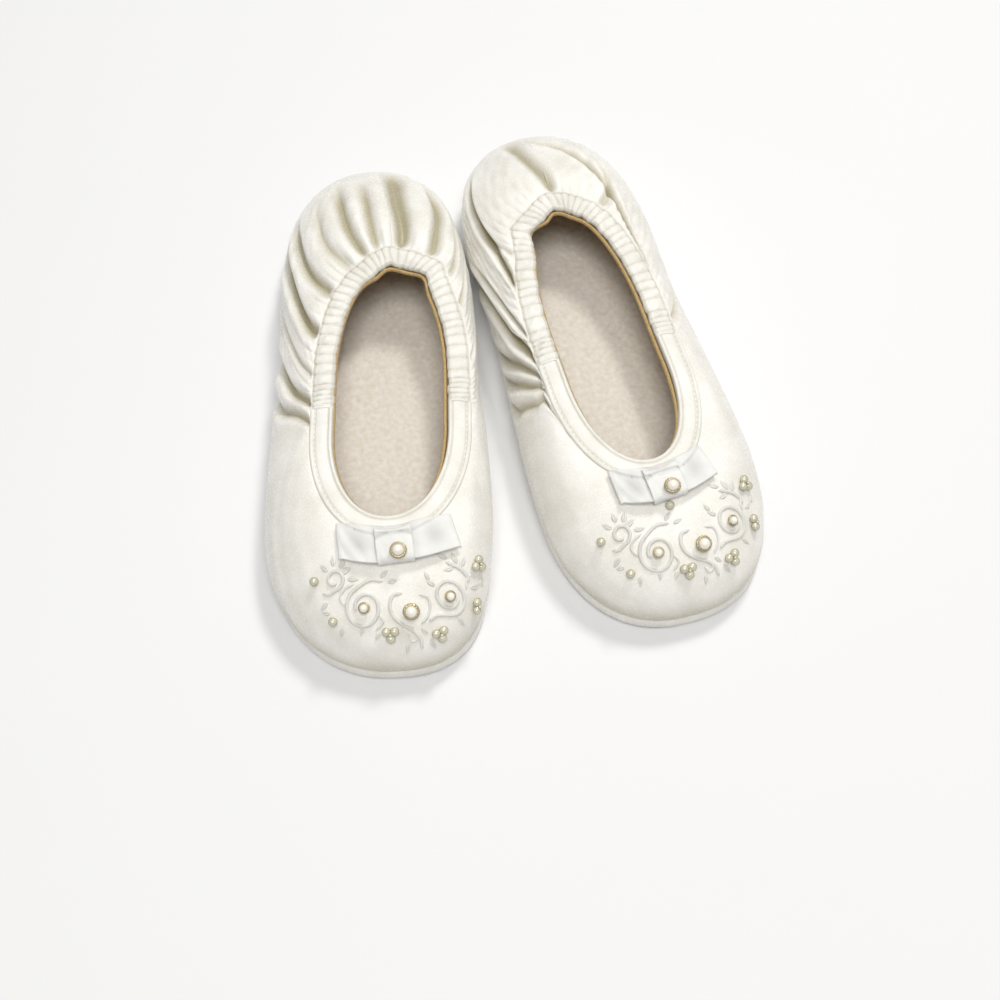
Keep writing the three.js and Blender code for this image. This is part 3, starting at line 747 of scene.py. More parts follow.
@dataclass
class Piece:
    """Vertices and faces gathered for one named object.

    Attributes:
        shape: The slipper that the piece belongs to.
        name: The object's name, without the slipper's.
        vertices: Arrays of points, in mm in the slipper's frame.
        faces: The vertex numbers of each face.
        painted_shades: Arrays of each vertex's painted shade, from 0 to 1.
        coordinates: Arrays of each vertex's place in the cloth's pattern, in mm.
        count: How many vertices there are so far.
    """

    shape: SlipperShape
    name: str
    vertices: list[np.ndarray] = field(default_factory=list)
    faces: list[list[int]] = field(default_factory=list)
    painted_shades: list[np.ndarray] = field(default_factory=list)
    coordinates: list[np.ndarray] = field(default_factory=list)
    count: int = 0

    def add(self, points: np.ndarray, faces: np.ndarray, tone: Values = 0.0,
            flat: np.ndarray | None = None) -> None:
        """Adds loose vertices and their quads or triangles.

        Args:
            points: Vertices as rows, in mm in the slipper's frame.
            faces: Vertex numbers, counted from this call's first vertex.
            tone: A value from 0 to 1 for each vertex, the painted shade that the finish darkens it
                by.
            flat: Pattern coordinates in mm for each vertex.
        """
        points = np.asarray(points, float).reshape(-1, 3)
        self.vertices.append(points)
        self.faces.extend((np.asarray(faces) + self.count).tolist())
        self.painted_shades.append(np.broadcast_to(np.ravel(tone), len(points)) if np.size(tone) > 1
                          else np.full(len(points), float(tone)))
        self.coordinates.append(points[:, :2] if flat is None else np.reshape(flat, (-1, 2)))
        self.count += len(points)

    def sheet(self, grid: np.ndarray, thickness: float, wrap: bool = False, tone: Values = 0.0,
              flat: np.ndarray | None = None) -> None:
        """Adds a grid as a closed cloth of the given thickness below it.

        Args:
            grid: Points in rows and columns.
            thickness: In mm; below zero thickens it the other way.
            wrap: Whether each row closes on itself.
            tone: The painted shade of each point.
            flat: Pattern coordinates of each point.
        """
        rows, columns = grid.shape[:2]
        under = grid - grid_normals(grid, wrap) * thickness
        total = rows * columns
        top = grid_faces(rows, columns, wrap)
        faces = [top, top[:, ::-1] + total]
        first = np.arange(columns)
        last = first + (rows - 1) * columns
        for rim, swap in ((first, False), (last, True)):
            ahead = np.roll(rim, -1) if wrap else rim[1:]
            here = rim if wrap else rim[:-1]
            quads = np.stack([here, here + total, ahead + total, ahead], axis=-1)
            faces.append(quads[:, ::-1] if swap else quads)
        if not wrap:
            for rim, swap in ((np.arange(rows) * columns, True),
                              (np.arange(rows) * columns + columns - 1, False)):
                here, ahead = rim[:-1], rim[1:]
                quads = np.stack([here, here + total, ahead + total, ahead], axis=-1)
                faces.append(quads[:, ::-1] if swap else quads)
        painted_shades = np.broadcast_to(tone, (rows, columns)).ravel()
        pattern = np.zeros((total, 2)) if flat is None else np.reshape(flat, (-1, 2))
        self.add(
            np.concatenate([grid.reshape(-1, 3), under.reshape(-1, 3)]),
            np.concatenate(faces),
            np.concatenate([painted_shades, painted_shades]),
            np.concatenate([pattern, pattern]) if flat is not None else None,
        )

    def tube(self, grid: np.ndarray, tone: Values = 0.0, closed: bool = False) -> None:
        """Adds a grid of rings as a solid tube, with ends unless it closes on itself.

        Args:
            grid: Points, with one ring in each row.
            tone: The painted shade of each point.
            closed: Whether the last ring joins the first.
        """
        rings, sides = grid.shape[:2]
        flat = np.stack(
            np.meshgrid(np.arange(rings) * 0.5, np.arange(sides) * 0.5, indexing="ij"), axis=-1
        )
        faces = grid_faces(rings + (1 if closed else 0), sides, wrap=True)
        if closed:
            faces = faces % (rings * sides)
        points, painted_shades = grid.reshape(-1, 3), np.broadcast_to(tone, (rings, sides)).ravel()
        flat = flat.reshape(-1, 2)
        if closed:
            self.add(points, faces, painted_shades, flat)
            return
        points = np.vstack([points, grid[0].mean(0), grid[-1].mean(0)])
        total = rings * sides
        ring = np.arange(sides)
        ahead = np.roll(ring, -1)
        ends = np.concatenate(
            [
                np.stack([ring, np.full(sides, total), ahead, ahead], axis=-1),
                np.stack([ahead, np.full(sides, total + 1), ring, ring], axis=-1)
                + np.array([(rings - 1) * sides, 0, (rings - 1) * sides, (rings - 1) * sides]),
            ]
        )[:, :3]
        self.faces.extend((ends + self.count).tolist())
        self.add(points, faces, np.append(painted_shades, [painted_shades[0], painted_shades[-1]]),
                 np.vstack([flat, flat[:1], flat[-1:]]))

    def ball(self, centre: np.ndarray, radius: float,
             stretch: tuple[float, float, float] = (1.0, 1.0, 1.0),
             axes: list | None = None) -> None:
        """Adds a round bead, stretched along its own axes.

        Args:
            centre: Its middle.
            radius: Its radius, in mm.
            stretch: Its stretch along each of its axes.
            axes: Its three axes, or None for the slipper's own.
        """
        points, faces = ball_mesh()
        axes = np.eye(3) if axes is None else np.asarray(axes)
        self.add(centre + (points * radius * np.asarray(stretch)) @ axes, faces)

    def build(self, finish: "Finish", stands_for: tuple[str, ...] = ()) -> bpy.types.Object:
        """Makes the object, gives it its finish and ties it to its body.

        Args:
            finish: The material.
            stands_for: Nodes of the frame that it replaces, without the slipper's name.

        Returns:
            The object.
        """
        mesh = bpy.data.meshes.new(f"{self.shape.spec.name}_{self.name}_mesh")
        points = self.shape.world(np.vstack(self.vertices))
        mesh.from_pydata(points.tolist(), [], self.faces)
        mesh.polygons.foreach_set("use_smooth", np.ones(len(mesh.polygons), bool))
        # Each vertex's painted shade goes to the mesh, and the finishes darken the colour by it.
        tone = mesh.attributes.new("tone", "FLOAT", "POINT")
        tone.data.foreach_set("value", np.concatenate(self.painted_shades).astype(np.float32))
        flat = np.vstack(self.coordinates) / 1000
        corners = np.zeros(len(mesh.loops), np.int32)
        mesh.loops.foreach_get("vertex_index", corners)
        layer = mesh.uv_layers.new(name="pattern")
        layer.data.foreach_set("uv", flat[corners].astype(np.float32).ravel())
        solid = bmesh.new()
        solid.from_mesh(mesh)
        bmesh.ops.recalc_face_normals(solid, faces=solid.faces)
        solid.to_mesh(mesh)
        solid.free()
        mesh.materials.append(finish.material())
        obj = bpy.data.objects.new(f"{self.shape.spec.name}-{self.name}", mesh)
        bpy.context.scene.collection.objects.link(obj)
        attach(obj, f"{self.shape.spec.name}_slipper")
        nodes = [f"{self.shape.spec.name}_{node}" for node in stands_for]
        if nodes:
            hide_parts(*nodes)
        LOG.info("%s: %d faces", obj.name, len(mesh.polygons))
        return obj


_BALL: list[np.ndarray] = []


def ball_mesh() -> tuple[np.ndarray, np.ndarray]:
    """The vertices and triangles of a unit sphere, made once.

    Returns:
        The vertices and the triangles.
    """
    if not _BALL:
        solid = bmesh.new()
        bmesh.ops.create_icosphere(solid, subdivisions=3, radius=1.0)
        points = np.array([vertex.co[:] for vertex in solid.verts])
        faces = np.array([[vertex.index for vertex in face.verts] for face in solid.faces])
        solid.free()
        _BALL.extend([points, faces])
    return _BALL[0], _BALL[1]


# ---------------------------------------------------------------- finishes


class Graph:
    """A short way to place and join shader nodes."""

    def __init__(self, tree: bpy.types.NodeTree) -> None:
        """Empties the node tree that will be filled."""
        self.tree = tree
        tree.nodes.clear()

    def node(self, kind: str, inputs: dict | None = None, **settings: object) -> bpy.types.Node:
        """Adds a node, sets its properties, and sets or joins its inputs.

        Args:
            kind: The node's type.
            inputs: A value or a socket for each input, by name or number.
            settings: The node's properties.

        Returns:
            The node.
        """
        node = self.tree.nodes.new(kind)
        for key, value in settings.items():
            setattr(node, key, value)
        for key, value in (inputs or {}).items():
            if isinstance(value, bpy.types.NodeSocket):
                self.tree.links.new(value, node.inputs[key])
            else:
                node.inputs[key].default_value = value
        return node

    def math(self, operation: str, first: Feed, second: Feed = 0.0) -> bpy.types.NodeSocket:
        """Adds a maths node and returns its result."""
        node = self.node("ShaderNodeMath", {0: first, 1: second}, operation=operation)
        return node.outputs[0]

    def blend(self, share: Feed, first: Feed, second: Feed) -> bpy.types.NodeSocket:
        """Mixes two colours and returns the result.

        Args:
            share: How much of the second colour is taken.
            first: The first colour.
            second: The second colour.

        Returns:
            The mixed colour.
        """
        node = self.node("ShaderNodeMix", data_type="RGBA")
        for socket, value in zip((node.inputs[0], node.inputs[6], node.inputs[7]),
                                 (share, first, second)):
            if isinstance(value, bpy.types.NodeSocket):
                self.tree.links.new(value, socket)
            else:
                socket.default_value = value
        return node.outputs[2]


def shade(red: float, green: float, blue: float) -> Colour:
    """A linear colour from display values between 0 and 1."""
    return (*(value**2.2 for value in (red, green, blue)), 1.0)


def group_of(name: str, inputs: dict, outputs: dict) -> tuple[bpy.types.NodeTree, bool]:
    """Finds or starts a shader node group with named sockets.

    Args:
        name: The group's name.
        inputs: The type of each input, by its label.
        outputs: The type of each output, by its label.

    Returns:
        The group, and whether it was started now.
    """
    if name in bpy.data.node_groups:
        return bpy.data.node_groups[name], False
    tree = bpy.data.node_groups.new(name, "ShaderNodeTree")
    for direction, sockets in (("INPUT", inputs), ("OUTPUT", outputs)):
        for label, kind in sockets.items():
            tree.interface.new_socket(label, in_out=direction, socket_type=f"NodeSocket{kind}")
    return tree, True


def mottle_group() -> bpy.types.NodeTree:
    """A group that mottles one colour with another, in patches of a given size.

    Returns:
        The group.
    """
    tree, fresh = group_of(
        "Mottle",
        {"Base": "Color", "Patch": "Color", "Scale": "Float", "Amount": "Float"},
        {"Colour": "Color", "Mask": "Float"},
    )
    if fresh:
        graph = Graph(tree)
        given = graph.node("NodeGroupInput").outputs
        place = graph.node("ShaderNodeTexCoord").outputs["Object"]
        noise = graph.node("ShaderNodeTexNoise", {"Vector": place, "Scale": given["Scale"],
                                                  "Detail": 5.0, "Roughness": 0.6})
        ramp = graph.node("ShaderNodeMapRange", {"Value": noise.outputs["Fac"], 1: 0.35, 2: 0.68})
        mask = graph.math("MULTIPLY", ramp.outputs["Result"], given["Amount"])
        colour = graph.blend(mask, given["Base"], given["Patch"])
        graph.node("NodeGroupOutput", {"Colour": colour, "Mask": mask})
    return tree


def weave_group() -> bpy.types.NodeTree:
    """A group that gives the height of a fine woven or knitted surface.

    Returns:
        The group.
    """
    tree, fresh = group_of(
        "Weave",
        {"Threads": "Float", "Slub": "Float"},
        {"Height": "Float"},
    )
    if fresh:
        graph = Graph(tree)
        given = graph.node("NodeGroupInput").outputs
        place = graph.node("ShaderNodeUVMap", uv_map="pattern").outputs["UV"]
        split = graph.node("ShaderNodeSeparateXYZ", {"Vector": place})
        waves = [
            graph.math("SINE", graph.math("MULTIPLY", split.outputs[axis], given["Threads"]))
            for axis in ("X", "Y")
        ]
        cross = graph.math("MULTIPLY", waves[0], waves[1])
        noise = graph.node("ShaderNodeTexNoise", {"Vector": place, "Scale": 900.0, "Detail": 4.0})
        slub = graph.math("MULTIPLY", noise.outputs["Fac"], given["Slub"])
        graph.node("NodeGroupOutput", {"Height": graph.math("ADD", cross, slub)})
    return tree


def use_group(graph: Graph, tree: bpy.types.NodeTree, inputs: dict) -> bpy.types.Node:
    """Places a group in a graph."""
    return graph.node("ShaderNodeGroup", inputs, node_tree=tree)


class Weft(Enum):
    """How finely a cloth is woven, in radians per metre of pattern."""

    SATIN = 14000.0
    RIBBON = 16000.0
    PLAIN = 7000.0


@dataclass(frozen=True)
class Finish:
    """A procedural material.

    Attributes:
        name: The material's name.
        slot: The record's material slot; not used.
        base: The main colour.
        shadow: The colour of the painted shade in folds, hollows and round a bead's rim, also used
            for random patches.
        roughness: Surface roughness.
    """

    name: str
    slot: str
    base: Colour
    shadow: Colour
    roughness: float

    def material(self) -> bpy.types.Material:
        """Finds or makes the material.

        Returns:
            The material.
        """
        if self.name in bpy.data.materials:
            return bpy.data.materials[self.name]
        material = bpy.data.materials.new(self.name)
        material.use_nodes = True
        material.diffuse_color = self.base
        graph = Graph(material.node_tree)
        shader = graph.node("ShaderNodeBsdfPrincipled", {"Roughness": self.roughness})
        self.dress(graph, shader)
        graph.node("ShaderNodeOutputMaterial", {"Surface": shader.outputs["BSDF"]})
        return material

    def dress(self, graph: Graph, shader: bpy.types.Node) -> None:
        """Sets what differs between kinds of material."""
        raise NotImplementedError

    @staticmethod
    def join(graph: Graph, value: bpy.types.NodeSocket, shader: bpy.types.Node, key: str) -> None:
        """Joins a value to one of the shader's sockets."""
        graph.tree.links.new(value, shader.inputs[key])

    @staticmethod
    def bump(graph: Graph, height: Feed, strength: float,
             distance: float) -> bpy.types.NodeSocket:
        """Adds a bump of a given depth in metres and returns its normal.

        Args:
            graph: The material's nodes.
            height: The height to shade by.
            strength: From 0 to 1.
            distance: The depth, in metres.

        Returns:
            The normal.
        """
        node = graph.node("ShaderNodeBump", {"Height": height, "Strength": strength,
                                             "Distance": distance})
        return node.outputs["Normal"]


@dataclass(frozen=True)
class SatinFinish(Finish):
    """A woven cloth with a long soft sheen, and painted shade, darker and warmer, in its folds."""

    weft: Weft = Weft.SATIN
    sheen: float = 0.25
    # How strongly the painted shade darkens the folds and hollows.
    painted_shade_strength: float = 0.9
    patch_scale: float = 75.0
    patch_amount: float = 0.20
    crumple_depth: float = 0.0004

    def dress(self, graph: Graph, shader: bpy.types.Node) -> None:
        """Paints shade into the folds and hollows, and adds weave, sheen and an uneven gloss.

        Args:
            graph: The material's nodes.
            shader: The material's shader.
        """
        # The vertex attribute read here is painted shade: it turns folds, hollows and the low toe
        # toward the shadow colour.
        fold = graph.node("ShaderNodeAttribute", attribute_name="tone").outputs["Fac"]
        mottled = use_group(graph, mottle_group(), {"Base": self.base, "Patch": self.shadow,
                                                    "Scale": self.patch_scale,
                                                    "Amount": self.patch_amount})
        painted_shade_share = graph.math("MULTIPLY", fold, self.painted_shade_strength)
        colour = graph.blend(painted_shade_share, mottled.outputs["Colour"], self.shadow)
        self.join(graph, colour, shader, "Base Color")
        gloss = graph.node("ShaderNodeTexNoise", {"Scale": 120.0, "Detail": 3.0})
        range_node = graph.node("ShaderNodeMapRange", {
            "Value": gloss.outputs["Fac"], 3: self.roughness - 0.06, 4: self.roughness + 0.1})
        self.join(graph, range_node.outputs["Result"], shader, "Roughness")
        shader.inputs["Anisotropic"].default_value = 0.5
        shader.inputs["Sheen Weight"].default_value = self.sheen
        shader.inputs["Sheen Roughness"].default_value = 0.35
        shader.inputs["Specular IOR Level"].default_value = 1.0
        weave = use_group(graph, weave_group(), {"Threads": self.weft.value, "Slub": 1.2})
        crumple = graph.node("ShaderNodeTexNoise",
                             {"Scale": 170.0, "Detail": 4.0, "Roughness": 0.6})
        height = graph.math("ADD", graph.math("MULTIPLY", weave.outputs["Height"], 0.12),
                            crumple.outputs["Fac"])
        self.join(graph, self.bump(graph, height, 0.5, self.crumple_depth), shader, "Normal")


@dataclass(frozen=True)
class PileFinish(Finish):
    """A napped or looped cloth with no gloss, speckled by its own shadows."""

    grain: float = 900.0
    depth: float = 0.0008

    def dress(self, graph: Graph, shader: bpy.types.Node) -> None:
        """Adds the pile's speckle, random patches and painted shade in its hollows, and its bumps.

        Args:
            graph: The material's nodes.
            shader: The material's shader.
        """
        loops = graph.node("ShaderNodeTexVoronoi", {"Scale": self.grain, "Randomness": 1.0})
        fibres = graph.node("ShaderNodeTexNoise", {"Scale": self.grain * 1.7, "Detail": 3.0})
        mottled = use_group(graph, mottle_group(), {"Base": self.base, "Patch": self.shadow,
                                                    "Scale": self.grain * 0.45, "Amount": 0.85})
        # Painted shade in the hollows between the loops.
        hollow = graph.node("ShaderNodeMapRange", {"Value": loops.outputs["Distance"],
                                                   1: 0.3, 2: 0.9, 4: 0.35})
        colour = graph.blend(hollow.outputs["Result"], mottled.outputs["Colour"], self.shadow)
        self.join(graph, colour, shader, "Base Color")
        shader.inputs["Specular IOR Level"].default_value = 0.15
        shader.inputs["Sheen Weight"].default_value = 0.3
        height = graph.math("SUBTRACT", fibres.outputs["Fac"], loops.outputs["Distance"])
        self.join(graph, self.bump(graph, height, 0.8, self.depth), shader, "Normal")


@dataclass(frozen=True)
class PearlFinish(Finish):
    """A lustrous pearl or bead."""

    coat: float = 0.7
    metal: float = 0.0

    def dress(self, graph: Graph, shader: bpy.types.Node) -> None:
        """Paints shade round the rim and adds a clear coat over a faintly uneven skin.

        Args:
            graph: The material's nodes.
            shader: The material's shader.
        """
        # Painted shade: the colour darkens toward the rim as the surface turns from view.
        facing = graph.node("ShaderNodeLayerWeight", {"Blend": 0.5}).outputs["Facing"]
        edge = graph.node("ShaderNodeMapRange", {"Value": facing, 1: 0.25, 2: 0.8})
        mottled = use_group(graph, mottle_group(), {"Base": self.base, "Patch": self.shadow,
                                                    "Scale": 400.0, "Amount": 0.08})
        colour = graph.blend(edge.outputs["Result"], mottled.outputs["Colour"], self.shadow)
        self.join(graph, colour, shader, "Base Color")
        shader.inputs["Coat Weight"].default_value = self.coat
        shader.inputs["Coat Roughness"].default_value = 0.08
        shader.inputs["Metallic"].default_value = self.metal
        shader.inputs["Specular IOR Level"].default_value = 0.7


# Each finish's second colour is its painted shade colour, also used for its random patches.
SATIN = SatinFinish("ivory_satin", "satin", shade(0.99, 0.98, 0.955), shade(0.66, 0.62, 0.46), 0.24)
RIBBON = SatinFinish("silver_ribbon", "ribbon", shade(0.985, 0.98, 0.965), shade(0.72, 0.72, 0.70),
                     0.24, weft=Weft.RIBBON, sheen=0.1, painted_shade_strength=0.8)
THREAD = SatinFinish("silvery_thread", "thread", shade(0.975, 0.97, 0.95), shade(0.66, 0.65, 0.58),
                     0.3, weft=Weft.PLAIN, sheen=0.4, painted_shade_strength=0.9)
# The lining's tan is partly its own colour and partly painted warm shade, for the strip that shows
# in the shade under the band's lip.
LINING = PileFinish("tan_lining", "lining_cloth", shade(0.86, 0.745, 0.52), shade(0.68, 0.54, 0.32),
                    0.85, grain=2500.0, depth=0.0001)
TERRY = PileFinish("cream_terry", "terry", shade(1.0, 0.985, 0.955), shade(0.93, 0.875, 0.80), 0.95,
                   grain=1000.0, depth=0.00015)
SUEDE = PileFinish("beige_suede", "suede", shade(0.80, 0.75, 0.66), shade(0.68, 0.62, 0.52), 0.95,
                   grain=1800.0, depth=0.0002)
FOAM = PileFinish("pale_foam", "foam", shade(0.92, 0.9, 0.84), shade(0.8, 0.77, 0.7), 0.9,
                  grain=1500.0, depth=0.0002)
ELASTIC = SatinFinish("ribbed_elastic", "elastic", shade(0.93, 0.92, 0.89), shade(0.7, 0.69, 0.64),
                      0.6, weft=Weft.PLAIN, sheen=0.1)
PEARL = PearlFinish("cream_pearl", "pearl", shade(1.0, 0.98, 0.93), shade(0.56, 0.48, 0.33), 0.12)
BEAD = PearlFinish("champagne_bead", "bead", shade(0.86, 0.845, 0.75), shade(0.50, 0.47, 0.34),
                   0.22, metal=0.15)
SETTING = PearlFinish("gilt_setting", "bead", shade(0.74, 0.68, 0.52), shade(0.45, 0.39, 0.25),
                      0.28, coat=0.3, metal=0.5)


# ---------------------------------------------------------------- the sole


@dataclass
class SoleUnit:
    """Outsole, midsole, satin rim and terry insole of one slipper.

    Attributes:
        shape: The slipper's form.
        grid: Rows and columns of a plain layer.
        fine_grid: Rows and columns of the layer that shows its pile.
        soft_share: Share of the way in from the edge over which a layer's edge is rounded.
        stitch_inset: The stitches' distance in from the edge of the sole, in mm.
        stitch_step: From one end of a stitch to the other, in mm.
        stitch_radius: Half a stitch's thickness, in mm.
    """

    shape: SlipperShape
    grid: tuple[int, int] = (150, 44)
    fine_grid: tuple[int, int] = (330, 110)
    soft_share: float = 0.12
    stitch_inset: float = 6.0
    stitch_step: float = 1.7
    stitch_radius: float = 0.35

    def rows(self, inset: float, count: int, columns: int) -> np.ndarray:
        """A grid over the sole's plan, in rows from toe to heel.

        Args:
            inset: How far in from the edge of the sole, in mm.
            count: Rows.
            columns: Points in each row.

        Returns:
            The plan points in rows and columns.
        """
        stations = np.linspace(0, 1, 700)
        plus = self.shape.sole.grown(stations, -inset)
        minus = self.shape.sole.grown(-stations, -inset)
        low = max(plus[0, 1], minus[0, 1]) + 0.02
        high = min(plus[-1, 1], minus[-1, 1]) - 0.02
        y = mix(low, high, (1 - np.cos(np.linspace(0, math.pi, count))) / 2)
        right = np.interp(y, plus[:, 1], plus[:, 0])
        left = np.interp(y, minus[:, 1], minus[:, 0])
        across = np.sin(np.linspace(-math.pi / 2, math.pi / 2, columns))
        x = (left + right)[:, None] / 2 + (right - left)[:, None] / 2 * across
        return np.stack([x, np.broadcast_to(y[:, None], x.shape)], axis=-1)

    def layer(self, name: str, finish: Finish, inset: float, base: float, top: float, edge: float,
              relief: Callable[[np.ndarray, np.ndarray], np.ndarray] | None = None,
              fine: bool = False) -> bpy.types.Object:
        """Builds a flat layer with softened edges.

        Args:
            name: The layer's name, and the node that it replaces.
            finish: The material.
            inset: How far in from the edge of the sole, in mm.
            base: Height of its underside.
            top: Height of its top.
            edge: How far its top edge is rounded.
            relief: Gives heights to add, from the plan and the rise from the edge.
            fine: Whether it takes the fine grid.

        Returns:
            The object.
        """
        plan = self.rows(inset, *(self.fine_grid if fine else self.grid))
        down = np.linspace(-1, 1, plan.shape[0])[:, None]
        over = np.linspace(-1, 1, plan.shape[1])[None, :]
        outward = np.minimum(1 - np.abs(over), 1 - np.abs(down))
        rise = smooth(outward / self.soft_share) ** 0.6
        upper = np.concatenate([plan, mix(top - edge, top, rise)[..., None]], axis=-1)
        if relief is not None:
            upper[..., 2] += relief(plan, rise)
        under = np.concatenate([plan, mix(base + edge * 0.5, base, rise)[..., None]], axis=-1)
        rows, columns = plan.shape[:2]
        total = rows * columns
        top_faces = grid_faces(rows, columns)
        ring = np.concatenate(
            [
                np.arange(columns),
                np.arange(1, rows) * columns + columns - 1,
                np.arange(columns - 2, -1, -1) + (rows - 1) * columns,
                np.arange(rows - 2, 0, -1) * columns,
            ]
        )
        ahead = np.roll(ring, -1)
        walls = np.stack([ring, ahead, ahead + total, ring + total], axis=-1)
        piece = Piece(self.shape, name)
        piece.add(
            np.concatenate([upper.reshape(-1, 3), under.reshape(-1, 3)]),
            np.concatenate([top_faces, top_faces[:, ::-1] + total, walls]),
        )
        return piece.build(finish, (name,))

    def pile(self, plan: np.ndarray, rise: np.ndarray) -> np.ndarray:
        """Heights of the terry's loops and of its soft crown.

        Args:
            plan: The plan points.
            rise: Rise from the edge, from 0 to 1.

        Returns:
            The heights, in mm.
        """
        random = np.random.default_rng(SEED + self.shape.spec.seed)
        loops = random.normal(0, 0.2, plan.shape[:2])
        loops = loops + 0.12 * ripple(plan[..., 0] / 7 + plan[..., 1] / 11, SEED)
        return rise * (loops + 0.7)

    def rim(self) -> None:
        """Builds the satin-covered edge of the sole."""
        stations = np.linspace(-1, 1, 700, endpoint=False)
        section = through(
            [(-RIM_WIDTH, 0.6), (-1.1, 0.4), (0.3, 0.8), (1.05, 2.6), (0.7, 4.8), (-0.3, 6.2),
             (-RIM_WIDTH, 6.2)], 5, closed=True)
        wrinkle = 0.16 * np.abs(np.sin(math.pi * 95 * stations + 2 * ripple(stations * 8, SEED)))
        grid = np.stack([
            np.concatenate([
                self.shape.sole.grown(stations, offset - wrinkle * (offset > -1)),
                np.full((len(stations), 1), height + RIM_LIFT * 0.2)], axis=-1)
            for offset, height in section], axis=1)
        piece = Piece(self.shape, "sole_rim")
        piece.tube(grid, closed=True)
        piece.build(SATIN, ("sole_rim",))

    def stitches(self) -> None:
        """Sews a line of stitches round the outsole."""
        piece = Piece(self.shape, "outsole_stitches")
        line = self.shape.sole.grown(np.linspace(-1, 1, 900), -self.stitch_inset)
        path = np.concatenate([line, np.full((len(line), 1), 0.06)], axis=-1)
        path = evenly(path, self.stitch_step)
        for start, end in zip(path[:-1:2], path[1::2]):
            along = unit(end - start)
            side = np.cross([0, 0, 1.0], along)
            piece.ball((start + end) / 2, self.stitch_radius, (2.6, 1.0, 0.55),
                       [along, side, [0, 0, 1.0]])
        piece.build(THREAD)

    def build(self) -> None:
        """Builds every layer."""
        self.layer("outsole", SUEDE, SOLE_INSET, 0.0, OUTSOLE_THICKNESS, 0.5)
        self.layer("midsole", FOAM, SOLE_INSET, MIDSOLE_BASE, MIDSOLE_TOP, 0.3)
        insole = self.layer("insole", TERRY, INSOLE_INSET, INSOLE_BASE, INSOLE_TOP, 1.6,
                            relief=self.pile, fine=True)
        self.rim()
        self.stitches()


# ---------------------------------------------------------------- the upper


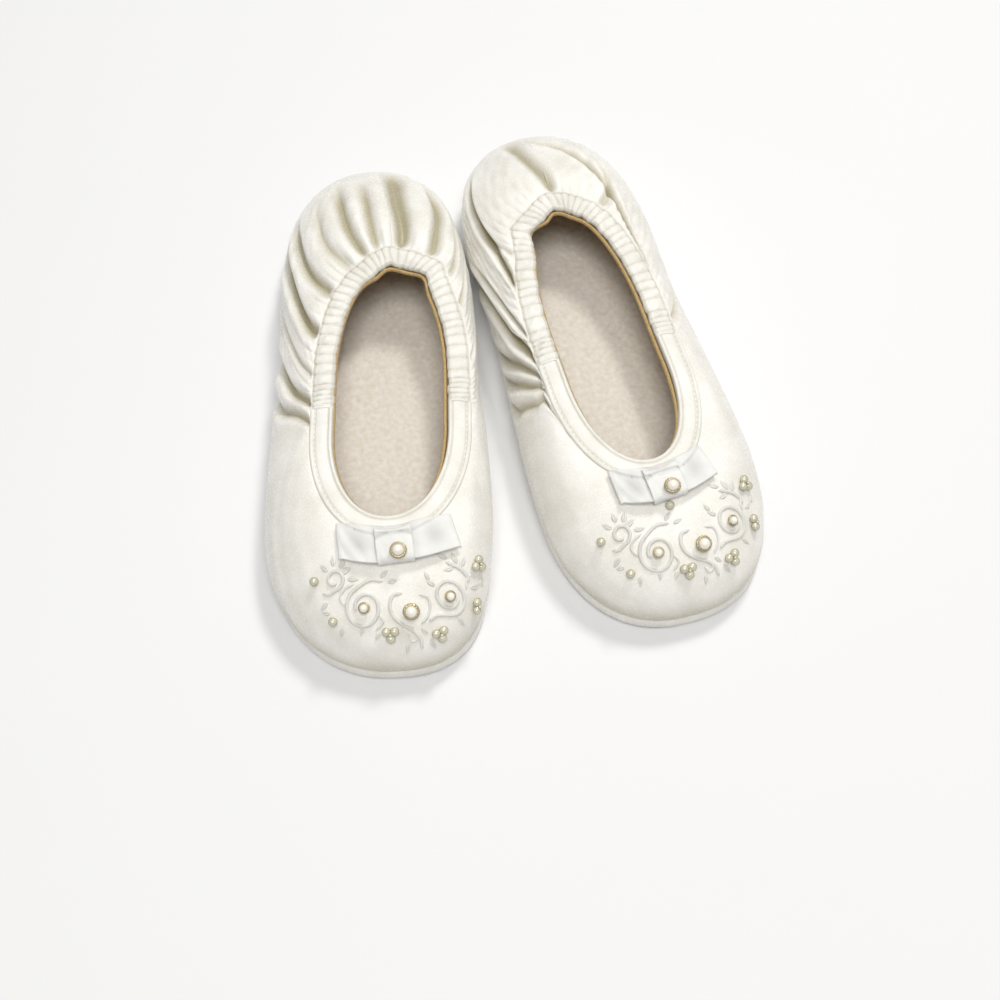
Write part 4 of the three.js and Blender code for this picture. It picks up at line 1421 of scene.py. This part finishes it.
@dataclass
class Upper:
    """Satin, lining, throat band and elastic of one slipper.

    Attributes:
        shape: The slipper's form.
        lap: How far neighbouring panels overlap at a seam, in stations.
        tuck_depth: How far the satin dips under the band, in mm.
        band_start: Level of the band's outer edge.
        band_middle: Level at which the band's direction is read.
        stitch_step: From one end of a stitch to the other, in mm.
    """

    shape: SlipperShape
    lap: float = 0.0015
    tuck_depth: float = 2.4
    band_start: float = 1.02
    band_middle: float = 1.5
    stitch_step: float = 1.25

    def band_normal(self, stations: np.ndarray) -> np.ndarray:
        """The directions out of the band."""
        return self.shape.frame(stations, np.full_like(stations, self.band_middle))[1]

    def panel(self, name: str, first: float, last: float, columns: int) -> None:
        """Builds a panel of satin between two stations.

        Args:
            name: The panel's name, and the node that it replaces.
            first: Station where it starts.
            last: Station where it ends.
            columns: Points along it.
        """
        levels = np.append(1 - (1 - np.linspace(0, 1, 110)) ** 1.15, [1.03, 1.08, 1.2])
        s, t = np.meshgrid(np.linspace(first, last, columns), levels, indexing="ij")
        relief = self.shape.relief(s, t)
        tuck = smooth((t - 1) / 0.1)
        grid = self.shape.satin(s, t, -self.tuck_depth * tuck)
        # Painted shade: deepest in the fold valleys, and a band low on the front of the toe, where
        # the satin turns away from the light.
        toe = smooth((0.42 - np.abs(s)) / 0.2) * smooth((0.24 - t) / 0.2)
        tone = np.clip(-relief / 3.4, 0, 0.9) * (t <= 1) + 0.6 * toe
        flat = np.stack([s * 260, t * 60], axis=-1)
        piece = Piece(self.shape, name)
        piece.sheet(grid, -SATIN_THICKNESS, tone=tone, flat=flat)
        piece.build(SATIN, (name,))

    def lining(self) -> None:
        """Builds the lining, which turns in under the band and shows at its edge."""
        stations = np.linspace(-1, 1, 800, endpoint=False)
        body = [(t, -LINING_DEPTH, 1.0) for t in np.linspace(0.0, 0.985, 64)]
        turn = [(1.1, -3.2, 0.0), (1.4, -4.0, 0.0), (1.7, -4.2, 0.0), (1.9, -3.9, 0.0),
                (2.02, -3.0, 0.0), (2.06, -2.0, 0.0), (2.03, -1.2, 0.0), (1.97, -0.9, 0.0)]
        rolled = smooth((stations - 0.12) / 0.3) + smooth((-stations - 0.86) / 0.08) + 0.15
        grid = []
        for level, lift, follow in body + turn:
            _, normal = self.shape.frame(stations, level)
            relief = self.shape.relief(stations, level, spread=1.5)
            relief = follow * (np.minimum(relief, 0.0) * 1.15 - 0.3)
            out = 0.17 * np.clip(rolled, 0, 1) * smooth((level - 1.8) / 0.25)
            base = self.shape.surface(stations, level + out)
            grid.append(base + normal * (relief + lift)[:, None])
        piece = Piece(self.shape, "lining")
        piece.sheet(np.stack(grid, axis=0), -LINING_THICKNESS, wrap=True)
        piece.build(LINING, ("lining",))

    def band(self, name: str, stations: np.ndarray, gathered: float) -> None:
        """Sweeps the throat band, smooth over the toe and ribbed where elastic gathers it.

        Args:
            name: The band's name, and the node that it replaces.
            stations: Stations of its rings.
            gathered: 1 where elastic gathers it, or 0.
        """
        smooth_edge = [(0.5, -1.6), (-0.35, -0.2), (0.3, 0.75), (1.1, 0.8), (1.7, 0.3), (3.2, 0.62),
                       (5.0, 0.75), (6.6, 0.55), (7.4, 0.3), (8.1, 0.75), (8.9, 0.5), (9.25, -0.6),
                       (8.8, -2.0), (6.0, -2.7), (2.6, -2.6)]
        soft_edge = [(0.2, -1.7), (-0.3, -0.5), (0.5, 0.15), (1.3, 0.4), (2.2, 0.6), (3.4, 0.85),
                     (4.8, 0.95), (6.2, 0.8), (7.2, 0.6), (8.1, 0.4), (8.9, 0.0), (9.2, -0.9),
                     (8.8, -2.0), (6.0, -2.7), (2.6, -2.6)]
        section = through(soft_edge if gathered else smooth_edge, 4, closed=True)
        seed = self.shape.spec.seed
        edge = smooth((np.abs(wrapped(stations)) - SIDE_SEAM + 0.02) / 0.05) * gathered
        phase = gather_phase(stations, seed)
        normal = self.band_normal(stations)
        start = self.shape.surface(stations, np.full_like(stations, self.band_start))
        lip = self.shape.surface(stations, np.full_like(stations, 2.0))
        half_width = BAND_WIDTH / 2
        rings = []
        for across, lift in section:
            crest = pleat(phase + 0.03 * (across - half_width)) - 0.55
            depth = np.clip(0.75 + 0.55 * ripple(stations * 11 + across / 6, seed + 9), 0.1, 1.5)
            over = lift > -0.5
            middle = math.sin(math.pi * min(max(across / BAND_WIDTH, 0), 1)) ** 0.5
            rise = lift + edge * crest * depth * (0.9 * middle if over else 0.2)
            sway = edge * (0.3 * crest * (1 if across > half_width else -1)
                           + 0.35 * ripple(stations * 14, seed + 2))
            level = 1 + (across + sway) / BAND_WIDTH
            share = (level - self.band_start) / (2 - self.band_start)
            point = mix(start, lip, share[:, None])
            rings.append(point + normal * rise[:, None])
        grid = np.stack(rings, axis=1)
        # Painted shade in the valleys between the gathers and along the grooves of the section.
        hollow = (1 - pleat(phase)) ** 2 * edge
        groove = np.array([0.3 if 0 < lift < 0.45 else 0.0 for _, lift in section])
        tone = np.clip(0.45 * hollow[:, None] + groove[None, :], 0, 1)
        piece = Piece(self.shape, name)
        piece.tube(grid, tone=tone)
        piece.build(SATIN, (name,))

    def elastic(self) -> None:
        """Builds the ribbed elastic that runs inside the band."""
        stations = np.linspace(-1, 1, 600, endpoint=False)
        ribs = 0.08 * np.sin(stations * 900)
        section = through([(1.6, -1.5), (1.6, -1.0), (4.5, -0.8), (7.4, -1.0), (7.4, -1.5),
                           (4.5, -1.7)], 3, closed=True)
        normal = self.band_normal(stations)
        rings = []
        for across, lift in section:
            level = np.full_like(stations, 1 + across / BAND_WIDTH)
            rings.append(self.shape.surface(stations, level) + normal * (lift + ribs)[:, None])
        piece = Piece(self.shape, "throat_elastic")
        piece.tube(np.stack(rings, axis=1), closed=True)
        piece.build(ELASTIC, ("throat_elastic",))

    def topstitch(self) -> None:
        """Sews the band down along its outer edge."""
        piece = Piece(self.shape, "band_stitches")
        stations = np.linspace(-SIDE_SEAM, SIDE_SEAM, 500)
        normal = self.band_normal(stations)
        path = self.shape.surface(stations, np.full_like(stations, 1 + 1.75 / BAND_WIDTH))
        path = evenly(path + normal * 0.3, self.stitch_step)
        levels = np.full_like(stations, self.band_middle)
        middle = self.shape.surface(stations, levels).mean(0)
        for start, end in zip(path[:-1:2], path[1::2]):
            along = unit(end - start)
            up = unit(np.array([0.0, 0.0, 1.0]) + 0.2 * unit(start - middle))
            side = unit(np.cross(up, along))
            piece.ball((start + end) / 2, 0.2, (3.0, 1.0, 0.9),
                       [along, side, np.cross(along, side)])
        piece.build(THREAD)

    def build(self) -> None:
        """Builds every part of the upper."""
        quarters = ("inner_quarter", "outer_quarter")
        plus, minus = quarters if self.shape.spec.name == "right" else quarters[::-1]
        self.panel("vamp", -SIDE_SEAM - self.lap, SIDE_SEAM + self.lap, 300)
        self.panel(plus, SIDE_SEAM, 1.0 + self.lap, 240)
        self.panel(minus, -1.0 - self.lap, -SIDE_SEAM, 240)
        self.lining()
        self.band("throat_binding", np.linspace(-SIDE_SEAM, SIDE_SEAM, 420), 0.0)
        self.band("elastic_casing", np.linspace(SIDE_SEAM, 2 - SIDE_SEAM, 900), 1.0)
        self.elastic()
        self.topstitch()


# ---------------------------------------------------------------- the bow


@dataclass
class Bow:
    """The flat ribbon bow at the front of the throat.

    Attributes:
        shape: The slipper's form.
        reach: From the middle of the knot to the tip of a loop, in mm.
        cloth: The ribbon's thickness, in mm.
        crossways: Points across the ribbon.
        lengthways: Points along each leg of a loop.
        tip_rows: Points round the tip of a loop.
        tip_start: Share of the reach at which a leg turns into the tip.
    """

    shape: SlipperShape
    reach: float
    cloth: float = RIBBON_THICKNESS * 0.7
    crossways: int = 31
    lengthways: int = 46
    tip_rows: int = 7
    tip_start: float = 0.985

    def loop(self, name: str, side: int) -> None:
        """Builds a folded loop of ribbon, lifted in a V at its tip.

        Args:
            name: The loop's name, and the node that it replaces.
            side: 1 for the loop toward +x, or -1.
        """
        v = np.linspace(-0.5, 0.5, self.crossways)
        legs, tip = self.lengthways, self.tip_start
        share = np.concatenate([np.linspace(0.02, tip, legs), np.full(self.tip_rows, 0.99),
                                np.linspace(tip, 0.02, legs)])
        turn = np.linspace(0, 1, self.tip_rows + 2)[1:-1]
        stage = np.concatenate([np.zeros(legs), turn, np.ones(legs)])
        vv, pp = np.meshgrid(v, share, indexing="ij")
        top = np.broadcast_to(stage, vv.shape)
        swell = LOOP_HEIGHT * (0.5 + 0.5 * np.sin(math.pi * pp**0.85)) - 0.45
        hollow = np.exp(-(((pp - 0.68) / 0.2) ** 2) - (vv / 0.34) ** 2)
        pleats = 0.3 * np.cos(2 * math.pi * 2.5 * vv) * (1 - pp) ** 3
        wave = 0.22 * ripple(2 * pp + vv * side, SEED + side)
        height = LOOP_BASE + 0.2 + top * (swell - 0.7 * hollow + pleats + wave)
        round_end = np.sin(math.pi * top) * (pp > 0.987) * 1.1
        reach = self.reach * pp * (1.0 if side > 0 else 0.88) + round_end
        width = mix(KNOT_LENGTH * LOOP_GATHER, RIBBON_WIDTH, smooth(pp / 0.4))
        width = width * (1 - 0.1 * pp**2 if side > 0 else 1.0)
        lean = LOOP_SWEEP * pp**2 * (1.15 if side > 0 else 1.65)
        along = vv * width + lean
        reach = reach - 2.2 * pp**2 * (vv + 0.2 if side > 0 else 0.0)
        pattern = np.stack([side * reach, along, height], axis=-1)
        # Painted shade in the loop's hollow and on its top layer near the knot.
        tone = np.clip(0.6 * hollow * top + 0.5 * (1 - smooth((pp - 0.25) / 0.25)) * top, 0, 0.8)
        grid = self.shape.drape(self.shape.spec.bow, pattern)
        piece = Piece(self.shape, name)
        flat = np.stack([reach + top * 30, along], axis=-1)
        piece.sheet(grid, self.cloth * side, tone=tone, flat=flat)
        piece.build(RIBBON, (name,))

    def knot(self) -> None:
        """Wraps the ribbon's middle, its rear edge sagging between the loops."""
        half, top = KNOT_LENGTH / 2, KNOT_HEIGHT + 0.4
        ring = through([(-half, 0.9), (-half + 0.6, 0.2), (0, 0.0), (half - 0.6, 0.2), (half, 0.9),
                        (half, top - 1.6), (half - 1.4, top - 0.2), (half * 0.3, top + 0.1),
                        (-half * 0.3, top), (-half + 1.6, top - 0.3), (-half, top - 1.7)],
                       7, closed=True)
        x = np.linspace(-KNOT_WIDTH / 2, KNOT_WIDTH / 2, 34)
        xx = x[:, None]
        along = np.broadcast_to(ring[:, 0], (len(x), len(ring))).copy()
        height = np.broadcast_to(ring[:, 1], along.shape).copy()
        over = smooth((height - 2.2) / 1.2)
        sag = 1.7 * (1 - (xx / 7) ** 2)
        along -= over * smooth(along / half) * sag
        height += over * (0.35 * (1 - (xx / 7) ** 2) + 0.18 * ripple(xx / 5 + along / 9, SEED))
        fold = np.exp(-((along - 3.4 + 0.02 * xx**2) ** 2) / 0.5) * over
        height -= 0.5 * fold
        pattern = np.stack([np.broadcast_to(xx, along.shape), along, height + BOW_BASE], axis=-1)
        grid = self.shape.drape(self.shape.spec.bow, pattern)
        piece = Piece(self.shape, "bow_knot")
        flat = np.stack([pattern[..., 0], along + height], axis=-1)
        # Painted shade along the crease of the knot.
        piece.sheet(grid, self.cloth, wrap=True, tone=0.7 * fold, flat=flat)
        piece.build(RIBBON, ("bow_knot",))

    def build(self) -> None:
        """Builds the bow."""
        self.loop("bow_left_loop", -1)
        self.loop("bow_right_loop", 1)
        self.knot()


# ---------------------------------------------------------------- pearls and embroidery


def spiral(centre: tuple[float, float], first: float, last: float, start: float,
           turns: float) -> list[tuple[float, float]]:
    """Points on a spiral.

    Args:
        centre: Its middle, in mm.
        first: Radius at the start.
        last: Radius at the end.
        start: Starting angle in turns, counter-clockwise from +x.
        turns: How far it goes round, counter-clockwise.

    Returns:
        The points.
    """
    share = np.linspace(0, 1, math.ceil(abs(turns) * 12) + 1)
    angle = 2 * math.pi * (start + turns * share)
    radius = mix(first, last, share)
    return list(zip(centre[0] + radius * np.cos(angle), centre[1] + radius * np.sin(angle)))


@dataclass(frozen=True)
class Leaf:
    """A satin-stitched leaf or petal, measured from the large pearl."""

    x: float
    y: float
    angle: float
    length: float
    width: float


@dataclass(frozen=True)
class Cord:
    """A satin-stitched line, measured from the large pearl."""

    name: str
    path: tuple[tuple[float, float], ...]
    width: float = 1.4


SMALL_PEARL_AT = (-17.7, 2.2)
SCROLL_PEARL_AT = (14.8, 5.4)
SINGLE_BEADS = {"left_pearl": (-29.8, -0.6), "upper_left_pearl": (-36.4, 14.2)}
BEAD_GROUPS = {
    "front_bead_cluster": (-8.4, -7.0, 3),
    "right_bead_cluster": (10.4, -7.0, 3),
    "right_bead_pair": (24.4, 4.0, 2),
    "upper_right_bead_cluster": (26.0, 18.5, 3),
}
CORDS = (
    Cord("left_scroll", (*spiral(SMALL_PEARL_AT, 3.5, 7.6, 0.55, -1.25), (-15, 11.6), (-10, 10.8))),
    Cord("right_scroll",
         (*spiral(SCROLL_PEARL_AT, 3.4, 6.4, 0.0, -1.25), (9.5, -1.5), (6.6, -3.6))),
    Cord("centre_flourish", ((-3, 6.2), (-6.6, 5.6), (-8, 2), (-6.8, -1.6), (-3.4, -4.6), (0, -6.2),
                             (2.8, -8.8), (3.4, -12))),
    Cord("upper_left_curl",
         (*spiral((-29, 13.5), 1.6, 4.0, -0.15, -1.1), (-31.5, 8.6), (-34, 9.4))),
    Cord("upper_right_spray", ((22.6, 11), (22.3, 13.2), (20, 15.4), (17, 16.6), (14.2, 17.6))),
)
FINE_CORDS = (
    Cord("heart_right", ((3.4, 5.6), (6.6, 4.6), (7.4, 1.4), (6.2, -1.8), (3.6, -4.4)), 1.0),
    Cord("left_tendril", ((-25.5, 3.5), (-27, 7), (-25, 9.6), (-21.5, 10.8)), 1.0),
    Cord("toe_tendril", ((-14, -5.6), (-11, -3.2), (-12.2, -0.6)), 0.9),
    Cord("spray_stem", ((21.6, 8.4), (21.9, 12.0), (24.2, 14.6)), 1.0),
    Cord("heart_inner", ((-1.6, -7.6), (-0.4, -9.8), (1.6, -9.2), (1.4, -7.4)), 0.9),
)
LEAVES = (
    Leaf(-24.6, 16.0, 20, 5.0, 2.4),
    Leaf(-25.6, 19.0, 60, 4.4, 2.2),
    Leaf(-29.2, 20.4, 95, 4.2, 2.2),
    Leaf(-32.8, 18.4, 135, 4.2, 2.2),
    Leaf(-21.6, 12.6, -10, 4.6, 2.0),
    Leaf(-33.6, 5.0, 215, 4.0, 2.0),
    Leaf(-27.2, -4.6, 250, 3.6, 1.8),
    Leaf(-33.0, 2.6, 170, 3.4, 1.8),
    Leaf(-9.6, 13.4, 40, 4.0, 1.8),
    Leaf(-6.4, 10.6, 10, 4.0, 1.8),
    Leaf(8.0, 9.6, 150, 4.0, 1.8),
    Leaf(6.8, 12.2, 120, 3.6, 1.7),
    Leaf(17.6, 19.2, 120, 4.6, 2.2),
    Leaf(20.8, 18.4, 70, 4.4, 2.2),
    Leaf(15.2, 15.0, 200, 4.2, 2.0),
    Leaf(12.8, 19.6, 160, 4.4, 2.0),
    Leaf(25.0, 10.4, 30, 4.0, 2.0),
    Leaf(27.8, 13.2, 70, 3.6, 1.8),
    Leaf(-13.4, -7.6, 230, 3.4, 1.7),
    Leaf(4.8, -6.6, 320, 3.4, 1.7),
    Leaf(7.6, -10.4, 300, 3.6, 1.8),
    Leaf(-2.2, -12.0, 250, 3.4, 1.7),
    Leaf(-19.4, -5.6, 250, 3.2, 1.6),
    Leaf(19.0, -2.4, 320, 3.4, 1.7),
)


@dataclass
class Motif:
    """Pearls, beads and embroidery on the toe of one slipper.

    Attributes:
        shape: The slipper's form.
        cord_step: From one ring of a cord to the next, in mm.
        cord_sides: Sides of a cord's ring.
        stitch_pitch: From one stitch of a cord to the next, in mm.
        stitch_relief: A stitch's height, as a share of the cord's radius.
    """

    shape: SlipperShape
    cord_step: float = 0.16
    cord_sides: int = 14
    stitch_pitch: float = 0.62
    stitch_relief: float = 0.16

    def cord(self, piece: Piece, cord: Cord) -> None:
        """Sews one line of slanted satin stitches.

        Args:
            piece: The piece that takes the stitches.
            cord: The line.
        """
        dense = through(np.array(cord.path, float), 8)
        path = evenly(dense, self.cord_step)
        motif = self.shape.spec.motif
        s, t = self.shape.locate(*motif.plan(path[:, 0], path[:, 1]))
        base = self.shape.satin(s, t)
        _, normal = self.shape.frame(s, t)
        along = unit(np.gradient(base, axis=0))
        side = unit(np.cross(normal, along))
        steps = np.concatenate([[0], np.cumsum(np.linalg.norm(np.diff(base, axis=0), axis=1))])
        taper = np.minimum(1, np.minimum(steps, steps[-1] - steps) / 1.6 + 0.25)
        angles = np.linspace(0, 2 * math.pi, self.cord_sides, endpoint=False)
        slant = steps[:, None] / self.stitch_pitch + 0.35 * np.cos(angles)
        ribs = 1 + self.stitch_relief * np.abs(np.sin(math.pi * slant))
        half = cord.width / 2 * taper[:, None] * ribs
        across = side[:, None, :] * (half * np.cos(angles))[..., None]
        lift = normal[:, None, :] * (half * 0.85 * np.sin(angles) + 0.22)[..., None]
        # Painted shade between the stitches.
        hollow = 0.45 * (1 + self.stitch_relief - ribs) / self.stitch_relief
        piece.tube(base[:, None, :] + across + lift, tone=np.clip(hollow, 0, 1))

    def leaf(self, piece: Piece, leaf: Leaf) -> None:
        """Fills one leaf with satin stitches.

        Args:
            piece: The piece that takes the stitches.
            leaf: The leaf.
        """
        u, v = np.meshgrid(np.linspace(0, 1, 34), np.linspace(-1, 1, 13), indexing="ij")
        spread = np.sin(math.pi * u**0.8) ** 0.8
        turn = math.radians(leaf.angle)
        length, width = leaf.length * (u - 0.5), leaf.width / 2 * v * spread
        across = leaf.x + length * math.cos(turn) - width * math.sin(turn)
        along = leaf.y + length * math.sin(turn) + width * math.cos(turn)
        ribs = np.abs(np.sin(math.pi * (u * leaf.length / 0.6 + 0.8 * np.abs(v))))
        vein = np.exp(-((v / 0.14) ** 2))
        height = 0.12 + 0.5 * np.sqrt(np.clip(1 - v**2, 0, 1)) * spread * (0.8 + 0.2 * ribs)
        height -= 0.25 * vein * spread
        grid = self.shape.drape(self.shape.spec.motif, np.stack([across, along, height], axis=-1))
        # Painted shade between the stitches and along the vein.
        piece.sheet(grid, -0.3, tone=np.clip(0.5 * (1 - ribs) + 0.4 * vein, 0, 0.8))

    def pearl(self, name: str, trim: Trim, at: tuple[float, float], radius: float, lift: float,
              finish: Finish, ringed: bool) -> None:
        """Sets a pearl at a height over the satin, in a gilt ring if it has one.

        Args:
            name: The pearl's name, and the node that it replaces.
            trim: Where its pattern lies.
            at: Its place in the pattern, in mm.
            radius: Its radius, in mm.
            lift: Its height over the satin, in mm.
            finish: The material.
            ringed: Whether it has a gilt ring.
        """
        base, along, up, normal = self.shape.patch(trim, *at)
        piece = Piece(self.shape, name)
        piece.ball(base + normal * (lift + radius), radius * (0.86 if ringed else 1.0))
        piece.build(finish, (name,))
        if not ringed:
            return
        angles = np.linspace(0, 2 * math.pi, 40, endpoint=False)
        minor = np.linspace(0, 2 * math.pi, 10, endpoint=False)
        ring = []
        for angle in angles:
            out = along * math.cos(angle) + up * math.sin(angle)
            centre = base + normal * (lift + radius * 0.8) + out * radius * 0.9
            grain = 1 + 0.18 * math.cos(14 * angle)
            ring.append([centre + (out * math.cos(m) + normal * math.sin(m)) * radius * 0.2 * grain
                         for m in minor])
        setting = Piece(self.shape, f"{name}_setting")
        setting.tube(np.array(ring), closed=True)
        setting.build(SETTING)

    def beads(self, name: str, across: float, along: float, count: int) -> None:
        """Sews a small group of beads round a seed.

        Args:
            name: The group's name, and the node that it replaces.
            across: Pattern x, in mm.
            along: Pattern y, in mm.
            count: How many beads there are.
        """
        base, tangent, up, normal = self.shape.patch(self.shape.spec.motif, across, along)
        piece = Piece(self.shape, name)
        ring = BEAD_SPACING / 2 / math.sin(math.pi / count)
        for i in range(count):
            angle = 2 * math.pi * (i + 0.25) / count
            out = tangent * math.cos(angle) + up * math.sin(angle)
            piece.ball(base + out * ring + normal * (0.1 + BEAD_RADIUS * 0.85), BEAD_RADIUS,
                       (1.0, 1.0, 0.85), [out, np.cross(normal, out), normal])
        piece.ball(base + normal * (BEAD_RADIUS * 1.7), 0.7)
        piece.build(BEAD, (name,))

    def build(self) -> None:
        """Builds every pearl, bead and stitch."""
        spec = self.shape.spec
        for cord in CORDS:
            piece = Piece(self.shape, cord.name)
            self.cord(piece, cord)
            piece.build(THREAD, (cord.name,))
        fine = Piece(self.shape, "fine_embroidery")
        for cord in FINE_CORDS:
            self.cord(fine, cord)
        fine.build(THREAD)
        leaves = Piece(self.shape, "embroidered_leaves")
        for leaf in LEAVES:
            self.leaf(leaves, leaf)
        leaves.build(THREAD)
        motif = spec.motif
        self.pearl("large_pearl", motif, (0, 0), LARGE_PEARL_RADIUS, 0.2, PEARL, True)
        self.pearl("small_pearl", motif, SMALL_PEARL_AT, SMALL_PEARL_RADIUS, 0.2, PEARL, True)
        self.pearl("scroll_pearl", motif, SCROLL_PEARL_AT, SMALL_PEARL_RADIUS, 0.2, PEARL, True)
        for name, at in SINGLE_BEADS.items():
            self.pearl(name, motif, at, BEAD_RADIUS, 0.1, BEAD, False)
        for name, group in BEAD_GROUPS.items():
            self.beads(name, *group)
        lift = BOW_BASE + KNOT_HEIGHT
        self.pearl("bow_pearl", spec.bow, (1.2, -3.6), LARGE_PEARL_RADIUS, lift, PEARL, True)
        if spec.has_bow_bead:
            along = -KNOT_LENGTH / 2 - 0.3 - BEAD_RADIUS
            self.pearl("bow_bead", spec.bow, (-1.2, along), BEAD_RADIUS, 0.1, BEAD, False)


# ---------------------------------------------------------------- the studio


@dataclass(frozen=True)
class CameraView:
    """Where the camera stands: a target in metres, a distance in metres and angles in degrees."""

    target: tuple[float, float, float] = (-0.0049, -0.061, 0.015)
    azimuth: float = -8.57
    elevation: float = 63.03
    roll: float = -1.07
    distance: float = 0.5372
    lens: float = 46.8
    sensor: float = 36.0
    near: float = 0.01

    def place(self) -> None:
        """Adds the camera."""
        data = bpy.data.cameras.new("camera")
        data.lens = self.lens
        data.sensor_width = self.sensor
        data.clip_start = self.near
        camera = bpy.data.objects.new("camera", data)
        bpy.context.scene.collection.objects.link(camera)
        a, e, r = (math.radians(value) for value in (self.azimuth, self.elevation, self.roll))
        back = Vector((math.sin(a) * math.cos(e), -math.cos(a) * math.cos(e), math.sin(e)))
        right = Vector((0, 0, 1)).cross(back).normalized()
        up = back.cross(right)
        turned = right * math.cos(r) + up * math.sin(r)
        upright = up * math.cos(r) - right * math.sin(r)
        place = Matrix((turned, upright, back)).transposed().to_4x4()
        place.translation = Vector(self.target) + back * self.distance
        camera.matrix_world = place
        bpy.context.scene.camera = camera


@dataclass(frozen=True)
class Lamp:
    """A square lamp that faces the middle of the floor, in metres and watts."""

    name: str
    place: tuple[float, float, float]
    size: float
    power: float
    colour: tuple[float, float, float] = (1.0, 0.99, 0.965)


@dataclass(frozen=True)
class Studio:
    """Floor, lights and background."""

    floor_size: float = 6.0
    fill: float = 0.43
    floor_drop: float = 0.0003
    horizon: Colour = (0.42, 0.42, 0.41, 1)
    zenith: Colour = (1, 1, 1, 1)
    lamps: tuple[Lamp, ...] = (
        Lamp("key", (0.70, 0.95, 1.70), 0.38, 18.0),
        Lamp("top", (-0.05, -0.55, 1.70), 0.8, 15.0),
    )

    def floor(self) -> None:
        """Lays a large pale floor."""
        bpy.ops.mesh.primitive_plane_add(size=self.floor_size,
                                         location=(0, 0, -self.floor_drop))
        floor = bpy.context.object
        floor.name = "floor"
        material = bpy.data.materials.new("pale_floor")
        material.use_nodes = True
        graph = Graph(material.node_tree)
        mottled = use_group(graph, mottle_group(), {"Base": shade(0.925, 0.925, 0.93),
                                                    "Patch": shade(0.915, 0.915, 0.92),
                                                    "Scale": 3.0, "Amount": 0.4})
        shader = graph.node("ShaderNodeBsdfPrincipled",
                            {"Base Color": mottled.outputs["Colour"], "Roughness": 0.8,
                             "Specular IOR Level": 0.1})
        graph.node("ShaderNodeOutputMaterial", {"Surface": shader.outputs["BSDF"]})
        floor.data.materials.append(material)

    def lights(self) -> None:
        """Hangs a soft key behind and to the right, and fills from all round."""
        for lamp in self.lamps:
            data = bpy.data.lights.new(lamp.name, "AREA")
            data.energy, data.size, data.color = lamp.power, lamp.size, lamp.colour
            hung = bpy.data.objects.new(lamp.name, data)
            hung.location = lamp.place
            hung.rotation_euler = (-hung.location).to_track_quat("-Z", "Y").to_euler()
            bpy.context.scene.collection.objects.link(hung)
        world = bpy.data.worlds.new("studio")
        world.use_nodes = True
        graph = Graph(world.node_tree)
        ray = graph.node("ShaderNodeTexCoord").outputs["Generated"]
        height = graph.node("ShaderNodeSeparateXYZ", {"Vector": ray}).outputs["Z"]
        share = graph.node("ShaderNodeMapRange", {"Value": height, 1: 0.1, 2: 0.85})
        colour = graph.blend(share.outputs["Result"], self.horizon, self.zenith)
        sky = graph.node("ShaderNodeBackground", {"Color": colour, "Strength": self.fill})
        graph.node("ShaderNodeOutputWorld", {"Surface": sky.outputs["Background"]})
        bpy.context.scene.world = world

    def build(self) -> None:
        """Sets up the studio."""
        self.floor()
        self.lights()
        CameraView().place()
        bpy.context.scene.view_settings.view_transform = "Standard"


# ---------------------------------------------------------------- the pair


@dataclass
class Slipper:
    """One slipper, built from its sub-assemblies."""

    spec: SlipperSpec

    def build(self) -> None:
        """Builds sole, upper, bow and motif."""
        shape = SlipperShape(self.spec)
        SoleUnit(shape).build()
        Upper(shape).build()
        Bow(shape, self.spec.bow_reach).build()
        Motif(shape).build()


def main() -> None:
    """Builds the pair and its studio."""
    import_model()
    for spec in (RIGHT, LEFT):
        Slipper(spec).build()
    Studio().build()


if __name__ == "__main__":
    main()
